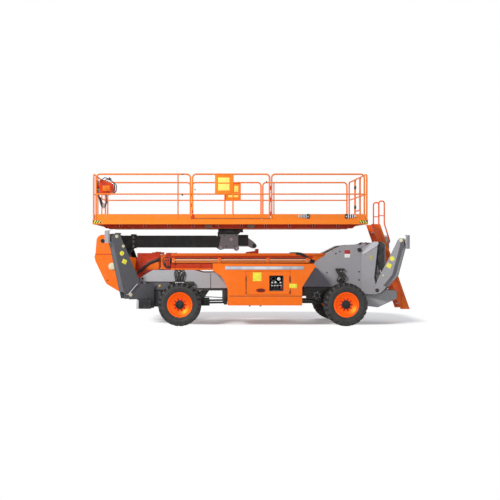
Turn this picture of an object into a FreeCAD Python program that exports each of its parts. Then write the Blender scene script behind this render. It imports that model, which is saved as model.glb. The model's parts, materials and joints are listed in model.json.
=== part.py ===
import FreeCAD, Part
import math
import os

# Telescopic boom lift with a wide level platform, parked on its wheels with everything folded.
# Millimetres. The origin is on the ground at the middle of the machine. -X is the front, where
# the boom's knuckle is, +X is the rear, where the ladder is. -Y is the left side. +Z is up.

Vec = FreeCAD.Vector

# ---------------------------------------------------------------- driving dimensions
SIDES = {"left": -1, "right": 1}
PIN_GAP = 0.08                # radial clearance of a pin in its hole
GAP = 6.0                     # least clearance between parts that move past each other

FRONT_AXLE_X, REAR_AXLE_X = -1785.0, 2215.0
TYRE_R, TYRE_W, BEAD_R, LUGS = 522.0, 390.0, 302.0, 20
WHEEL_Y = 1055.0              # middle of a tyre from the centre plane
KINGPIN_Y = 780.0
STEER_DEG = 28.0

BOOM_PIVOT = (2632.0, 1842.0)      # (x, z) of the main boom's hinge
KNUCKLE_PIVOT = (-3509.0, 1429.0)  # boom tip in the knuckle
ARM_PIVOT = (-3745.0, 2069.0)      # upper arm in the knuckle
LEVEL_PIVOT = (-770.0, 1900.0)     # platform mount on the upper arm
LUFF_DEG, ARM_DEG = 70.0, 70.0
STAGE_TRAVEL = 3400.0              # travel of each of the two sliding boom sections
LUFF_RAM = ((2320.0, 930.0), (1000.0, 1240.0))   # base pin, rod eye
ARM_RAM = ((-3575.0, 1000.0), (-3155.0, 1788.0))

PLATFORM_X = (-3877.0, 2735.0)
PLATFORM_HALF_W = 1200.0
PLATFORM_MID_X = (PLATFORM_X[0] + PLATFORM_X[1]) / 2
DECK_Z, FRAME_Z, BEAM_Z = 2568.0, 2455.0, 2372.0
DECK_RIM, FLOOR_Z = 60.0, 2560.0      # the rim that carries the rails, and the floor inside it
TOE_TOP, MID_RAIL_Z, TOP_RAIL_Z = 2700.0, 3180.0, 3658.0
RAIL_R = 20.0
GATE_X = (-1477.0, 387.0)          # left loading gate; the right one is turned half round

SPLAY_DEG = 30.0
FRONT_LEG = (-3050.0, 950.0, 757.0)  # outrigger pivots: x, distance from the centre plane, z
REAR_LEG = (3082.0, 800.0, 857.0)
FRONT_LEG_RAM = ((-725.0, 100.0), (-100.0, 270.0))   # base pin and rod eye, from the pivot
REAR_LEG_RAM = ((-60.0, 1124.0), (85.0, 293.0))
LEG_PIN_R = 35.0

HOUSING_Y = (660.0, 1200.0)
DOOR_X, DOOR_Z = (-203.0, 877.0), (760.0, 1330.0)
WINDOW_X, WINDOW_Z = (364.0, 709.0), (850.0, 1224.0)
WALL = 30.0


# ---------------------------------------------------------------- shape helpers
def box(x, y, z):
    """A block from three (low, high) pairs."""
    return Part.makeBox(x[1] - x[0], y[1] - y[0], z[1] - z[0], Vec(x[0], y[0], z[0]))


def drum(centre, axis, radius, low, high):
    """A cylinder about an axis through centre, from low to high along it."""
    direction = Vec(*axis)
    base = Vec(*centre) + direction * low
    return Part.makeCylinder(radius, high - low, base, direction)


def cross_pin(point, radius, low, high):
    """A cylinder along Y through the (x, z) point."""
    return drum((point[0], 0, point[1]), (0, 1, 0), radius, low, high)


def bar(start, end, radius):
    """A round bar between two points."""
    a, b = Vec(*start), Vec(*end)
    return Part.makeCylinder(radius, (b - a).Length, a, b - a)


def slab(outline, low, high):
    """An XZ outline made thick along Y."""
    points = [Vec(x, low, z) for x, z in outline]
    wire = Part.makePolygon(points + [points[0]])
    return Part.Face(wire).extrude(Vec(0, high - low, 0))


def plan_slab(outline, low, high):
    """An XY outline made thick along Z."""
    points = [Vec(x, y, low) for x, y in outline]
    wire = Part.makePolygon(points + [points[0]])
    return Part.Face(wire).extrude(Vec(0, 0, high - low))


def bent_plate(path, thickness, low, high):
    """A plate along an XZ path, with its thickness to the left of it."""
    normals = []
    for a, b in zip(path, path[1:]):
        run = math.hypot(b[0] - a[0], b[1] - a[1])
        normals.append((-(b[1] - a[1]) / run, (b[0] - a[0]) / run))
    inner = []
    for point, before, after in zip(path, normals[:1] + normals, normals + normals[-1:]):
        scale = thickness / (1 + before[0] * after[0] + before[1] * after[1])
        inner.append((point[0] + scale * (before[0] + after[0]), point[1] + scale * (before[1] + after[1])))
    return slab(path + inner[::-1], low, high)


def join(*shapes):
    """One solid from shapes that touch."""
    shapes = list(shapes)
    whole = shapes[0].fuse(shapes[1:]) if len(shapes) > 1 else shapes[0]
    return whole.removeSplitter()


def bent_tube(points, radius, bend):
    """A round tube along straight runs with arcs of one radius between them."""
    path = [Vec(*p) for p in points]
    edges, start = [], path[0]
    for before, corner, after in zip(path, path[1:], path[2:]):
        inward = (before - corner).normalize()
        outward = (after - corner).normalize()
        half = inward.getAngle(outward) / 2
        setback = bend / math.tan(half)
        a, b = corner + inward * setback, corner + outward * setback
        bisector = (inward + outward).normalize()
        middle = corner + bisector * (bend / math.sin(half) - bend)
        edges += [Part.LineSegment(start, a).toShape(), Part.Arc(a, middle, b).toShape()]
        start = b
    edges.append(Part.LineSegment(start, path[-1]).toShape())
    section = Part.Wire(Part.Circle(path[0], path[1] - path[0], radius).toShape())
    return Part.Wire(edges).makePipeShell([section], True, True)


def box_tube(x, half_width, z, wall):
    """A hollow rectangular tube along X, open at both ends."""
    outer = box(x, (-half_width, half_width), z)
    inner = box((x[0] - 1, x[1] + 1), (-half_width + wall, half_width - wall), (z[0] + wall, z[1] - wall))
    return outer.cut(inner)


def both_sides(shape):
    """The shape and its mirror image across the centre plane."""
    return [shape, shape.mirror(Vec(0, 0, 0), Vec(0, 1, 0))]


def largest(shape):
    """The biggest solid of a shape that a cut left in several."""
    return max(shape.Solids, key=lambda solid: solid.Volume)


def half_turn(shape):
    """The shape turned half round about the middle of the platform."""
    turned = shape.copy()
    turned.rotate(Vec(PLATFORM_MID_X, 0, 0), Vec(0, 0, 1), 180)
    return turned


def save(name, *shapes):
    """Write one node; several solids in it don't touch."""
    whole = shapes[0] if len(shapes) == 1 else Part.makeCompound(list(shapes))
    whole.exportStep(os.path.join("parts", name + ".step"))


# ---------------------------------------------------------------- chassis
RAIL_Y = (380.0, 520.0)          # the two main rails
RAIL_Z = (830.0, 1080.0)
FRONT_BEAM_X, FRONT_BEAM_Z, BEAM_END_Y = (-2720.0, -2400.0), (640.0, 880.0), 500.0
PLATE_Y = (640.0, 660.0)         # outer faces of the grey side plates
GIRDER_Y = (260.0, 660.0)        # one box of the boom pedestal
REAR_BEAM = [(2740, 700), (2840, 450), (3100, 420), (3570, 640), (3560, 840), (2900, 862), (2740, 862)]
REAR_BEAM_END_Y = 620.0
FRONT_TIE_HOLE, REAR_TIE_HOLE, TIE_HOLE_R = (-2715.0, 1130.0), (3250.0, 690.0), 25.0
FRONT_PLATE = [
    (-2779, 1060), (-2779, 1156), (-2463, 1344), (-1442, 1344), (-1205, 1282), (-860, 1282),
    (-780, 1180), (1560, 1180), (1560, 985), (-640, 985), (-640, 900), (-1400, 900), (-1445, 1060),
]
PEDESTAL = [
    (1600, 1060), (1600, 1512), (1745, 1560), (1866, 1766), (2224, 1946), (2470, 1973), (2740, 1963),
    (2791, 2000), (2791, 842), (2020, 842), (1883, 1011), (1700, 1060),
]


def front_beam():
    """Hollow cross beam that carries the front outriggers."""
    outer = box(FRONT_BEAM_X, (-BEAM_END_Y, BEAM_END_Y), FRONT_BEAM_Z)
    return outer.cut(box((FRONT_BEAM_X[0] + 15, FRONT_BEAM_X[1] - 15), (-600, 600),
                         (FRONT_BEAM_Z[0] + 15, FRONT_BEAM_Z[1] - 15)))


def cross_members():
    """Three beams between the main rails."""
    spans = ((-1300, -1180), (20, 140), (1430, 1550))
    return [box(x, (-RAIL_Y[0], RAIL_Y[0]), (RAIL_Z[0], RAIL_Z[0] + 110)) for x in spans]


def side_frame(side):
    """Main rail, side plate, the stubs between them and the front axle's leg, welded into one."""
    def across(low, high):
        return sorted((side * low, side * high))
    rail = box((FRONT_BEAM_X[0], 1590), across(*RAIL_Y), RAIL_Z)
    leg = box((FRONT_AXLE_X - 110, FRONT_AXLE_X + 110), across(*RAIL_Y), (600, RAIL_Z[0] + 5))
    stubs = [box((x, x + 60), across(RAIL_Y[1] - 5, PLATE_Y[0] + 5), (RAIL_Z[1] - 90, RAIL_Z[1]))
             for x in (-2700, -1260, -900, -60, 560, 1480)]
    plate = slab(FRONT_PLATE, *across(*PLATE_Y))
    frame = join(rail, leg, *stubs, plate).cut(box(FRONT_BEAM_X, (-BEAM_END_Y, BEAM_END_Y), FRONT_BEAM_Z))
    return frame.cut(cross_pin(FRONT_TIE_HOLE, TIE_HOLE_R, -700, 700))


def pedestal():
    """Two hollow girders that carry the boom's pin, the rear beam and the wall between them."""
    inner = [(1615, 1075), (1615, 1500), (1757, 1548), (1877, 1753), (2228, 1930), (2470, 1958),
             (2735, 1948), (2776, 1970), (2776, 857), (2028, 857), (1890, 1026), (1706, 1075)]
    girder = slab(PEDESTAL, *GIRDER_Y).cut(slab(inner, GIRDER_Y[0] + 15, GIRDER_Y[1] - 15))
    girders = both_sides(girder)
    pin = cross_pin(BOOM_PIVOT, 55, -690, 690)
    keepers = both_sides(box((BOOM_PIVOT[0] - 70, BOOM_PIVOT[0] + 70), (658, 680),
                             (BOOM_PIVOT[1] - 30, BOOM_PIVOT[1] + 30)))
    wall = box((2771, 2791), (-GIRDER_Y[0] - 5, GIRDER_Y[0] + 5), (842, 1500))
    floor = box((2440, 2791), (-GIRDER_Y[0] - 5, GIRDER_Y[0] + 5), (842, 862))
    base = LUFF_RAM[0]
    sill = box((base[0] - 110, base[0] + 110), (-GIRDER_Y[0] - 5, GIRDER_Y[0] + 5), (800, 846))
    ear = [(base[0] - 90, 840), (base[0] - 62, base[1] + 62), (base[0] + 62, base[1] + 62), (base[0] + 90, 840)]
    ears = [slab(ear, 100, 125), slab(ear, -125, -100)]
    ram_pin = cross_pin(base, 40, -130, 130)
    beam = slab(REAR_BEAM, -REAR_BEAM_END_Y, REAR_BEAM_END_Y)
    beam = beam.cut(slab([(2860, 685), (2860, 470), (3098, 440), (3550, 650), (3545, 825), (2860, 825)],
                         -REAR_BEAM_END_Y + 15, REAR_BEAM_END_Y - 15))
    rail_ends = both_sides(box((1590, 1700), RAIL_Y, (RAIL_Z[0] + 10, RAIL_Z[1])))
    legs = both_sides(box((REAR_AXLE_X - 110, REAR_AXLE_X + 110), RAIL_Y, (600, 850)))
    struts = both_sides(bar((2781, 300, 1250), (3445, 300, 1250), 28))
    whole = join(*girders, pin, *keepers, wall, floor, sill, *ears, ram_pin, beam, *rail_ends, *legs, *struts)
    return whole.cut(cross_pin(REAR_TIE_HOLE, TIE_HOLE_R, -700, 700))


def front_axle():
    """Axle beam with a forked end for each steering knuckle."""
    x = (FRONT_AXLE_X - 75, FRONT_AXLE_X + 75)
    beam = box(x, (-690, 690), (440, 600))
    differential = drum((FRONT_AXLE_X, 0, 520), (0, 1, 0), 170, -150, 150).cut(box((-2600, -900), (-300, 300), (600, 900)))
    forks = []
    for side in (-1, 1):
        back = box((x[0], x[1]), tuple(sorted((side * 685, side * 700))), (400, 640))
        for z in ((400, 425), (615, 640)):
            ear = box((x[0] + 30, x[1] - 30), tuple(sorted((side * 698, side * 815))), z)
            forks.append(ear.cut(drum((FRONT_AXLE_X, side * KINGPIN_Y, 0), (0, 0, 1), 25 + PIN_GAP, 380, 660)))
        forks.append(back)
    return join(beam, differential, *forks)


def rear_axle():
    """Fixed axle beam with a flange for each wheel."""
    beam = box((REAR_AXLE_X - 75, REAR_AXLE_X + 75), (-830, 830), (440, 600))
    differential = drum((REAR_AXLE_X, 0, 520), (0, 1, 0), 170, -150, 150).cut(box((1400, 3000), (-300, 300), (600, 900)))
    flanges = [drum((REAR_AXLE_X, 0, TYRE_R), (0, side, 0), 170, 825, 868) for side in (-1, 1)]
    spindles = [drum((REAR_AXLE_X, 0, TYRE_R), (0, side, 0), 60, 860, 1165) for side in (-1, 1)]
    return join(beam, differential, *flanges, *spindles)


def steering_knuckle(side):
    """Block with its kingpin, track arm and wheel spindle."""
    x = FRONT_AXLE_X
    block = box((x - 55, x + 55), tuple(sorted((side * 740, side * 850))), (431, 609))
    kingpin = drum((x, side * KINGPIN_Y, 0), (0, 0, 1), 25, 400, 640)
    flange = drum((x, 0, TYRE_R), (0, side, 0), 170, 840, 868)
    spindle = drum((x, 0, TYRE_R), (0, side, 0), 60, 860, 1165)
    track_arm = box((x + 50, x + 190), tuple(sorted((side * 790, side * 830))), (500, 530))
    return join(block, kingpin, flange, spindle, track_arm)


def revolve_about_axle(outline, x, side):
    """A wheel part from (radius, distance outwards from the tyre's middle) points."""
    points = [Vec(x + r, side * (WHEEL_Y + w), TYRE_R) for r, w in outline]
    face = Part.Face(Part.makePolygon(points + [points[0]]))
    return face.revolve(Vec(x, 0, TYRE_R), Vec(0, 1, 0), 360)


def tyre_section(left_lug, right_lug):
    """Radius and distance from the tyre's middle, from one bead over the tread to the other."""
    half = TYRE_W / 2
    section = []
    for sign, lug in ((-1, left_lug), (1, right_lug)):
        outer, inner = (TYRE_R - 10, TYRE_R) if lug else (TYRE_R - 40, TYRE_R - 36)
        points = [(BEAD_R + 0.8, sign * (half - 45)), (430, sign * half), (outer, sign * (half - 16)), (inner, sign * 28)]
        section.append(points)
    return section[0] + [(TYRE_R - 36, 0)] + section[1][::-1]


def tyre(x, side):
    """Closed casing of flat faces with two rows of slanted lugs, half a pitch apart."""
    pitch = 2 * math.pi / LUGS
    rings = []
    for i in range(LUGS):
        for part, left in ((0.0, True), (0.42, True), (0.5, False), (0.92, False)):
            ring = []
            for radius, across in tyre_section(left, not left):
                turn = pitch * (i + part + 0.45 * abs(across) / TYRE_W)
                ring.append(Vec(x + radius * math.cos(turn), side * (WHEEL_Y + across), TYRE_R + radius * math.sin(turn)))
            rings.append(ring)
    faces = []
    for here, there in zip(rings, rings[1:] + rings[:1]):
        for k in range(len(here)):
            n = (k + 1) % len(here)
            for corners in ((here[k], there[k], there[n]), (here[k], there[n], here[n])):
                faces.append(Part.Face(Part.makePolygon([*corners, corners[0]])))
    skin = Part.makeCompound(faces)
    skin.sewShape()
    return Part.makeSolid(skin.Shells[0])


def rim(x, side):
    """Dished wheel: a barrel that fills the tyre's bore, a sloping disc and a raised hub."""
    edge = TYRE_W / 2 - 45
    outline = [
        (61, 24), (61, 120), (105, 120), (125, 70), (200, 40), (235, 85), (268, 118), (268, edge + 6),
        (BEAD_R, edge + 14), (BEAD_R, -edge - 14), (268, -edge - 6), (256, 90), (225, 58), (195, 18), (120, 45), (100, 24),
    ]
    return revolve_about_axle(outline, x, side)


# ---------------------------------------------------------------- housings and doors
def housing_outline(inset):
    """Side view of a housing, with its flared ends, drawn in by inset."""
    left = [(-985 + inset, 1340), (-985 + inset, 1512 - inset)]
    right = [(1415 - inset, 1500 - inset), (1487 - 1.4 * inset, 1460 - inset / 2), (1235 - inset, 1070),
             (1155 - inset, 940), (1155 - inset, 504 + inset)]
    curve = [(-625 + inset, 504 + inset), (-625 + inset, 860), (-690 + inset, 1060), (-800 + inset, 1215)]
    return left + right + curve


def housing(side):
    """Hollow side housing with a door opening in its outer wall."""
    y = HOUSING_Y
    outer = slab(housing_outline(0), *y)
    inner = slab(housing_outline(WALL), y[0] + WALL, y[1] - WALL)
    shell = outer.cut(inner)
    opening = box(DOOR_X, (y[1] - WALL - 5, y[1] + 5), DOOR_Z)
    shell = shell.cut(opening)
    return shell if side > 0 else shell.mirror(Vec(0, 0, 0), Vec(0, 1, 0))


def housing_door(side):
    """Door that fills the opening, with its hinge barrels outside the front edge."""
    y = HOUSING_Y
    panel = box((DOOR_X[0] + 6, DOOR_X[1] - 6), (y[1] - WALL, y[1]), (DOOR_Z[0] + 6, DOOR_Z[1] - 6))
    if side < 0:
        panel = panel.cut(box(WINDOW_X, (y[1] - WALL - 5, y[1] + 5), WINDOW_Z))
    barrels = []
    for z in (DOOR_Z[0] + 60, DOOR_Z[1] - 140):
        barrels.append(drum((DOOR_X[0], y[1] + 12, 0), (0, 0, 1), 10, z, z + 80))
        barrels.append(box((DOOR_X[0] + 4, DOOR_X[0] + 60), (y[1], y[1] + 6), (z, z + 80)))
    door = join(panel, *barrels)
    return door if side > 0 else door.mirror(Vec(0, 0, 0), Vec(0, 1, 0))


def ground_controls():
    """Cabinet behind the left door's window."""
    y = HOUSING_Y
    cabinet = box((WINDOW_X[0] - 20, WINDOW_X[1] + 20), (-y[1] + WALL + 12, -y[0] - WALL), (WINDOW_Z[0] - 20, WINDOW_Z[1] + 20))
    recess = box((WINDOW_X[0], WINDOW_X[1]), (-y[1] + WALL, -y[1] + WALL + 40), WINDOW_Z)
    buttons = []
    for row in range(2):
        for column in range(4):
            buttons.append(drum((WINDOW_X[0] + 60 + 75 * column, -y[1] + WALL + 41, WINDOW_Z[0] + 80 + 80 * row),
                                (0, -1, 0), 14, 0, 14))
    gauge = drum((WINDOW_X[0] + 110, -y[1] + WALL + 41, WINDOW_Z[1] - 90), (0, -1, 0), 45, 0, 12)
    return join(cabinet.cut(recess), *buttons, gauge)


def engine_block():
    return box((-150, 830), (HOUSING_Y[0] + WALL + 20, HOUSING_Y[0] + WALL + 400), (504 + WALL, 1150))


# ---------------------------------------------------------------- outriggers
def stand_at(shape, leg, front, side):
    """Turn a piece from the outrigger's own frame, where +X leads outwards, to its corner."""
    heading = (180 + side * -SPLAY_DEG) if front else side * SPLAY_DEG
    placed = shape.copy()
    placed.rotate(Vec(0, 0, 0), Vec(0, 0, 1), heading)
    placed.translate(Vec(leg[0], side * leg[1], leg[2]))
    return placed


FRONT_ARM = [(-120, -95), (-290, 250), (250, 1420), (330, 1480), (430, 1465), (500, 1380), (420, 1150), (130, -100)]
FRONT_ARM_WEB = [(163, 60), (416, 1150), (494, 1374)]
FRONT_TOE = (351.0, 1405.0)
REAR_ARM = [(-60, 100), (42, 330), (303, 816), (500, 1215), (560, 1270), (640, 1240), (651, 1098),
            (455, 365), (130, -20), (60, -70), (-30, -70)]
REAR_ARM_WEB = [(214, 86), (450, 366), (645, 1096)]
REAR_TOE = (585.0, 1208.0)


def leg_arm(outline, web, toe, half_width):
    """Channel arm: two side plates with a web along the outer edge and a socket for the foot."""
    plate = 14.0
    plates = [slab(outline, -half_width, -half_width + plate), slab(outline, half_width - plate, half_width)]
    bent_web = bent_plate(web, plate, -half_width + 5, half_width - 5)
    socket = cross_pin(toe, 45, -half_width + 5, half_width - 5)
    arm = join(*plates, bent_web, socket)
    return arm.cut(cross_pin((0, 0), LEG_PIN_R + PIN_GAP, -half_width - 5, half_width + 5))


def leg_foot(toe, reach, half_height, pad_z):
    """Ball stem and ribbed pad, which faces outwards when the arm is up."""
    x = toe[0] + reach
    half = 105
    stem = drum((toe[0], 0, toe[1]), (1, 0, 0), 26, 44, reach)
    boss = drum((toe[0], 0, pad_z), (1, 0, 0), 70, reach - 30, reach + 1)
    pad = box((x, x + 40), (-half, half), (pad_z - half_height, pad_z + half_height))
    lips = [box((x - 30, x + 1), (-half, half), (z, z + 14)) for z in (pad_z - half_height, pad_z + half_height - 14)]
    return join(stem, boss, pad, *lips)


def ram(base, tip, bore_r, rod_r, eye_r, half_width, barrel_length, pin_r, pin_half=0):
    """A hydraulic ram between two (x, z) points: its barrel with the base eye, and its rod."""
    length = math.hypot(tip[0] - base[0], tip[1] - base[1])
    along = ((tip[0] - base[0]) / length, 0, (tip[1] - base[1]) / length)
    origin = (base[0], 0, base[1])
    tube = drum(origin, along, bore_r + 12, eye_r * 0.8, barrel_length)
    barrel = join(cross_pin(base, eye_r, -half_width, half_width), tube)
    barrel = barrel.cut(drum(origin, along, bore_r, eye_r + 10, barrel_length - 24))
    barrel = barrel.cut(drum(origin, along, rod_r + PIN_GAP, barrel_length - 40, barrel_length + 5))
    barrel = barrel.cut(cross_pin(base, pin_r + PIN_GAP, -half_width - 5, half_width + 5))
    shaft = drum(origin, along, rod_r, eye_r + 16, length - eye_r * 0.7)
    piston = drum(origin, along, bore_r - PIN_GAP, eye_r + 16, eye_r + 40)
    eye = cross_pin(tip, eye_r, -half_width, half_width)
    pin = cross_pin(tip, pin_r, -max(pin_half, half_width), max(pin_half, half_width))
    return barrel, join(shaft, piston, eye, pin)


def front_bracket():
    """Open box that holds a front arm's pin and its ram's foot."""
    outline = [(-940, -115), (-940, 264), (-300, 264), (60, 60), (75, 0), (60, -80), (20, -115)]
    plates = [slab(outline, -150, -132), slab(outline, 132, 150)]
    floor = box((-940, -190), (-140, 140), (-115, -95))
    base = FRONT_LEG_RAM[0]
    return join(*plates, floor, cross_pin((0, 0), LEG_PIN_R, -150, 150), cross_pin(base, 24, -140, 140))


def rear_bracket():
    """Pair of plates that stand between a rear arm's sides and hold its ram's upper pin."""
    outline = [(-420, -100), (-420, 1010), (-200, 1150), (-90, 1190), (-30, 1180), (0, 1130), (-20, 900),
               (-90, 300), (-40, 95), (60, 60), (75, 0), (60, -75), (0, -100)]
    plates = [slab(outline, -92, -74), slab(outline, 74, 92)]
    back = box((-420, -400), (-80, 80), (-100, 1000))
    base = REAR_LEG_RAM[0]
    return join(*plates, back, cross_pin((0, 0), LEG_PIN_R, -124, 124), cross_pin(base, 24, -80, 80))


def step_box(side):
    """Closed box that hangs under a front bracket, stepped in to clear the steered wheel."""
    def across(low, high):
        return sorted((side * low, side * high))
    outer = box((-2825, -2485), across(850, 1117), (420, 636))
    inner = box((-2825, -2435), across(560, 851), (420, 636))
    hangers = [box((x, x + 14), across(860, 1000), (630, 690)) for x in (-2820, -2600)]
    return join(outer, inner, *hangers)


def front_bracket_pair(frames):
    pair = []
    for side in SIDES.values():
        bracket = stand_at(front_bracket(), FRONT_LEG, True, side)
        inner_end = box((-2425, -1500), (-1500, 1500), (0, 1500))
        centre = box((-4000, -1500), (-BEAM_END_Y, BEAM_END_Y), (0, 1500))
        pair.append(join(largest(bracket.cut([inner_end, centre, *frames])), step_box(side)))
    return pair


def rear_bracket_pair(carrier):
    pair = []
    for side in SIDES.values():
        bracket = stand_at(rear_bracket(), REAR_LEG, False, side)
        girder = box((1500, 2791), (-660, 660), (842, 2100))
        pair.append(largest(bracket.cut([girder, carrier])))
    return pair


# ---------------------------------------------------------------- boom
BASE_X, BASE_Z, BASE_HALF = (-2155.0, 2470.0), (1334.0, 1754.0), 210.0
MIDDLE_X, MIDDLE_Z, MIDDLE_HALF = (-2290.0, 2200.0), (1356.0, 1732.0), 188.0
TIP_X, TIP_Z, TIP_HALF = (-2330.0, 2050.0), (1378.0, 1710.0), 166.0
REST_X, REST_Z = (-147.0, 182.0), (1754.0, 1866.0)


def boom_base():
    """Outer boom section with its pivot tube, ram ears and the rest for the platform mount."""
    tube = box_tube(BASE_X, BASE_HALF, BASE_Z, 10)
    collar = box_tube((BASE_X[0], BASE_X[0] + 90), BASE_HALF + 14, (BASE_Z[0] - 14, BASE_Z[1] + 14), 16)
    tail = [(2200, 1340), (2200, 1754), (2560, 1935), (2640, 1950), (2730, 1890), (2740, 1800), (2600, 1640),
            (2480, 1340)]
    tails = [slab(tail, -BASE_HALF, -BASE_HALF + 25), slab(tail, BASE_HALF - 25, BASE_HALF)]
    hub = cross_pin(BOOM_PIVOT, 95, -250, 250)
    eye = LUFF_RAM[1]
    ear = [(eye[0] - 150, BASE_Z[0] + 5), (eye[0] - 70, eye[1] - 60), (eye[0] + 70, eye[1] - 60),
           (eye[0] + 150, BASE_Z[0] + 5)]
    ears = [slab(ear, 105, 125), slab(ear, -125, -105)]
    wedge = [(REST_X[0], REST_Z[0]), (REST_X[0] + 25, 1788), (98, 1815), (108, REST_Z[1]), (REST_X[1], REST_Z[1]),
             (REST_X[1], REST_Z[0])]
    rest = slab(wedge, -130, 130).cut(box((REST_X[0] + 40, REST_X[1] - 40), (-105, 105), (1700, 1778)))
    end_cap = box((BASE_X[1] - 20, BASE_X[1]), (-BASE_HALF, BASE_HALF), BASE_Z)
    boom = join(tube, collar, *tails, hub, *ears, rest, end_cap)
    boom = boom.cut(box((BASE_X[0] - 5, BASE_X[1] - 20), (-BASE_HALF + 10, BASE_HALF - 10),
                        (BASE_Z[0] + 10, BASE_Z[1] - 10)))
    return boom.cut(cross_pin(BOOM_PIVOT, 55 + PIN_GAP, -700, 700))


def boom_pipes():
    """Long hose pipe and its clamps on each side of the outer section."""
    pipes = []
    for side in (-1, 1):
        pipe = bar((-2040, side * 245, 1586), (1500, side * 245, 1586), 26)
        clamps = [box((x, x + 40), tuple(sorted((side * 210, side * 250))), (1552, 1620))
                  for x in (-1990, -830, 390, 1380)]
        pipes.append(join(pipe, *clamps))
    return pipes


def boom_middle():
    tube = box_tube(MIDDLE_X, MIDDLE_HALF, MIDDLE_Z, 9)
    return tube


def boom_tip():
    """Inner section with the open fork that carries the knuckle."""
    tube = box_tube(TIP_X, TIP_HALF, TIP_Z, 9)
    tip = KNUCKLE_PIVOT
    cheek = [(-2885, 1130), (-2885, 1345), (tip[0], tip[1] - 115), (tip[0] - 81, tip[1] - 81), (tip[0] - 115, tip[1]),
             (tip[0] - 81, tip[1] + 81), (tip[0], tip[1] + 115), (-2885, 1640), (-2885, 1762), (-2320, 1762),
             (-2320, 1130)]
    cheeks = [slab(cheek, TIP_HALF, TIP_HALF + 36), slab(cheek, -TIP_HALF - 36, -TIP_HALF)]
    web = box((-2885, -2320), (-TIP_HALF - 5, TIP_HALF + 5), (1722, 1762))
    foot_web = box((-2640, -2320), (-TIP_HALF - 5, TIP_HALF + 5), (1130, 1150))
    joint = box((-2330, -2318), (-TIP_HALF - 5, TIP_HALF + 5), (1700, 1730))
    fork = join(*cheeks, web, foot_web)
    whole = join(tube, fork, joint)
    return whole.cut(cross_pin(tip, 50 + PIN_GAP, -260, 260))


def knuckle():
    """Two large plates that carry the upper arm on the boom's tip."""
    pivot = ARM_PIVOT
    lobe = [(pivot[0] + 155 * math.cos(math.radians(a)), pivot[1] + 155 * math.sin(math.radians(a)))
            for a in range(20, 181, 20)]
    outline = lobe + [(-3925, 1735), (-3951, 1673), (-3925, 1560), (-3675, 1033), (-3637, 980), (-3271, 761),
                      (-3160, 750), (-3060, 830), (-2945, 1200), (-2905, 1600), (-2920, 1640), (-3163, 1678),
                      (-3400, 1800)]
    plates = both_sides(slab(outline, 270, 305))
    front = bent_plate([(-3930, 1560), (-3680, 1033)], 14, -275, 275)
    tip = KNUCKLE_PIVOT
    pins = [cross_pin(pivot, 45, -320, 320), cross_pin(ARM_RAM[0], 35, -275, 275)]
    pins += both_sides(cross_pin(tip, 50, 158, 320))
    return join(*plates, front, *pins)


def upper_arm():
    """Box arm with a lug at each end and ears for its ram."""
    z = (1900.0, 2205.0)
    tube = box_tube((-3300, -880), 150, z, 9)
    caps = [box((-3300, -3285), (-150, 150), z), box((-895, -880), (-150, 150), z)]
    collar = box_tube((-3047, -2920), 168, (z[0] - 18, z[1] + 34), 20)
    head = [(-3310, z[0]), (-3310, z[1]), (ARM_PIVOT[0] + 40, ARM_PIVOT[1] + 112), (ARM_PIVOT[0] - 50, ARM_PIVOT[1] + 105),
            (ARM_PIVOT[0] - 115, ARM_PIVOT[1]), (ARM_PIVOT[0] - 50, ARM_PIVOT[1] - 105), (ARM_PIVOT[0] + 60, ARM_PIVOT[1] - 110)]
    heads = [slab(head, 125, 150), slab(head, -150, -125)]
    heads = [h.fuse(box((-3310, -3298), (-150, 150), z)) for h in heads]
    hub = cross_pin(ARM_PIVOT, 85, -262, 262)
    eye = ARM_RAM[1]
    ear = [(eye[0] - 130, z[0] + 4), (eye[0] - 60, eye[1] - 60), (eye[0] + 60, eye[1] - 60), (eye[0] + 200, z[0] + 4)]
    ears = [slab(ear, 88, 106), slab(ear, -106, -88)]
    end = LEVEL_PIVOT
    lug = [(-890, z[1] - 20), (-890, z[0]), (end[0] - 10, end[1] - 62), (end[0] + 45, end[1] - 40), (end[0] + 62, end[1]),
           (end[0] + 45, end[1] + 45), (end[0], end[1] + 66)]
    lugs = [slab(lug, 100, 128), slab(lug, -128, -100)]
    arm = join(tube, *caps, collar, *heads, hub, *ears, *lugs)
    arm = arm.cut(cross_pin(ARM_PIVOT, 45 + PIN_GAP, -300, 300))
    return arm.cut(cross_pin(end, 30 + PIN_GAP, -300, 300))


# ---------------------------------------------------------------- platform
def platform_mount():
    """Levelled bracket on the arm's end, with its nose and slewing ring."""
    x, z = LEVEL_PIVOT
    cheek = [(x - 66, z), (x - 45, z + 48), (-780, 2160), (-835, 2260), (-835, 2330), (-745, 2330), (-745, 2292),
             (-335, 2292), (-335, 1960), (-310, 1880), (-330, 1835), (-370, 1815), (-415, 1835), (-440, 1868),
             (x + 75, 1868), (x + 45, z - 50), (x - 45, z - 50)]
    cheeks = [slab(cheek, 156, 182), slab(cheek, -182, -156)]
    top = box((-745, -335), (-182, 182), (2268, 2292))
    pins = [cross_pin(LEVEL_PIVOT, 30, -195, 195), cross_pin((-370, 1880), 30, -195, 195)]
    core = box((-420, -80), (-125, 125), (1927, 2218))
    brace = box((-430, -335), (-182, 182), (1960, 2280))
    nose = [(-85, 1935), (-85, 2150), (20, 2080), (90, 2020), (140, 1957), (120, 1905), (80, 1880), (20, 1885)]
    noses = [slab(nose, 70, 100), slab(nose, -100, -70)]
    ring = drum((0, 0, 0), (0, 0, 1), 250, 2292, 2418)
    ring.translate(Vec(PLATFORM_MID_X, 0, 0))
    bumper = cross_pin((80, 1945), 55, -105, 105)
    return join(*cheeks, top, *pins, core, brace, *noses, bumper, ring)


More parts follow.
